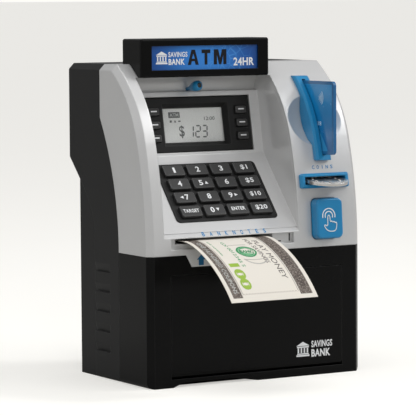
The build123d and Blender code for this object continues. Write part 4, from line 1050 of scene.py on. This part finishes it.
notePrint = {
    "value": [("100", 25.0, 7.6, 0.05, -16.4, 22.0, -90)],
    "serial": [
        ("GX 0012345 S", 33.0, 2.4, 0.0, -9.6, 47.0, -90), ("ONE HUNDRED", 22.0, 1.0, 0.0, -19.2, 55.0, -90)
    ],
    "sealSpot": (1.0, 47.5), "sealGround": (15.0, 12.4, 0.06), "sealRings": ((6.6, 1.0), (4.9, 0.5)),
    "sealWords": [("BANK", 9.0, 3.6, 0.03, 1.0, 47.5, -8)],
    "shadowStrokes": (
        ([(-8, 0.4), (-3, -0.6), (3, -0.6), (8, 0.4)], 0.5, 2.6, 37.6),
        ([(-7, 0.2), (-2, 0.8), (3, 0.8), (8, 0.2)], 0.4, -2.6, 56.6)
    ),
    "shadowArc": (9.4, 1.0, 200, 340), "shadowArcSpot": (3.4, 42.0),
    "words": [
        ("PLAY MONEY", 46.0, 4.0, -0.006, 15.6, 40.0, -90),
        ("FOR SAVINGS", 34.0, 3.2, -0.006, 10.4, 50.0, -90), ("100", 9.0, 4.4, 0.0, 25.6, 14.0, -90),
        ("100", 9.0, 4.4, 0.0, 25.6, 34.0, -90)
    ],
    "borderWords": [("ONE HUNDRED COUPONS", 58.0, 3.0, 0.0, -26.8, 36.0, -90)],
}
sealAcross, sealFromTip = notePrint["sealSpot"]
shadowAcross, shadowFromTip = notePrint["shadowArcSpot"]
buildNote()
addNotePrint("note_value", noteWords(notePrint["value"]), "noteLimeInk")
addNotePrint("note_serial", noteWords(notePrint["serial"]), "noteGreenInk")
ground = [(discMesh(*notePrint["sealGround"]), sealAcross, sealFromTip, 0)]
addNotePrint("note_seal_ground", ground, "sealPaleInk")
rings = [
    (arcMesh(radius, width, 0, 360), sealAcross, sealFromTip, 0) for radius, width in notePrint["sealRings"]
]
addNotePrint("note_seal", rings + noteWords(notePrint["sealWords"]), "sealInk")
strokes = [(strokeMesh(points, width), across, fromTip, 0)
           for points, width, across, fromTip in notePrint["shadowStrokes"]]
strokes.append((arcMesh(*notePrint["shadowArc"]), shadowAcross, shadowFromTip, 0))
addNotePrint("note_shadow_lines", strokes, "noteGreyInk")
addNotePrint("note_words", noteWords(notePrint["words"]), "noteBrownInk")
addNotePrint("note_border_words", noteWords(notePrint["borderWords"]), "lcdPaleInk")
print("banknote printed")


# coin relief
coinRelief = {
    "lean": 8.0, "ring": (12.9, 0.5), "figure": [("1", 3.6, 10.0, 0.03, 1.0, 0, 0)], "thickness": 0.5,
    "dots": 12, "dotRadius": 9.6, "dotSize": 1.7, "dotSides": 12, "lift": 0.12
}
coinFace = faceOf("coin", coinRelief["lean"])
shapes = [(arcMesh(*coinRelief["ring"], 0, 360, coinRelief["thickness"]), coinFace)]
shapes += lettered(coinFace, coinRelief["figure"])
for index in range(coinRelief["dots"]):
    turn = math.radians((index + 0.5) * 360 / coinRelief["dots"])
    x, y = coinRelief["dotRadius"] * math.cos(turn), coinRelief["dotRadius"] * math.sin(turn)
    dot = discMesh(
        coinRelief["dotSize"], coinRelief["dotSize"], coinRelief["thickness"], coinRelief["dotSides"]
    )
    shapes.append((dot, at(coinFace, x, y)))
addPiece("coin_relief", printed(shapes, "coin", coinRelief["lift"]), "coin_nickel", "coin")
print("coin struck")
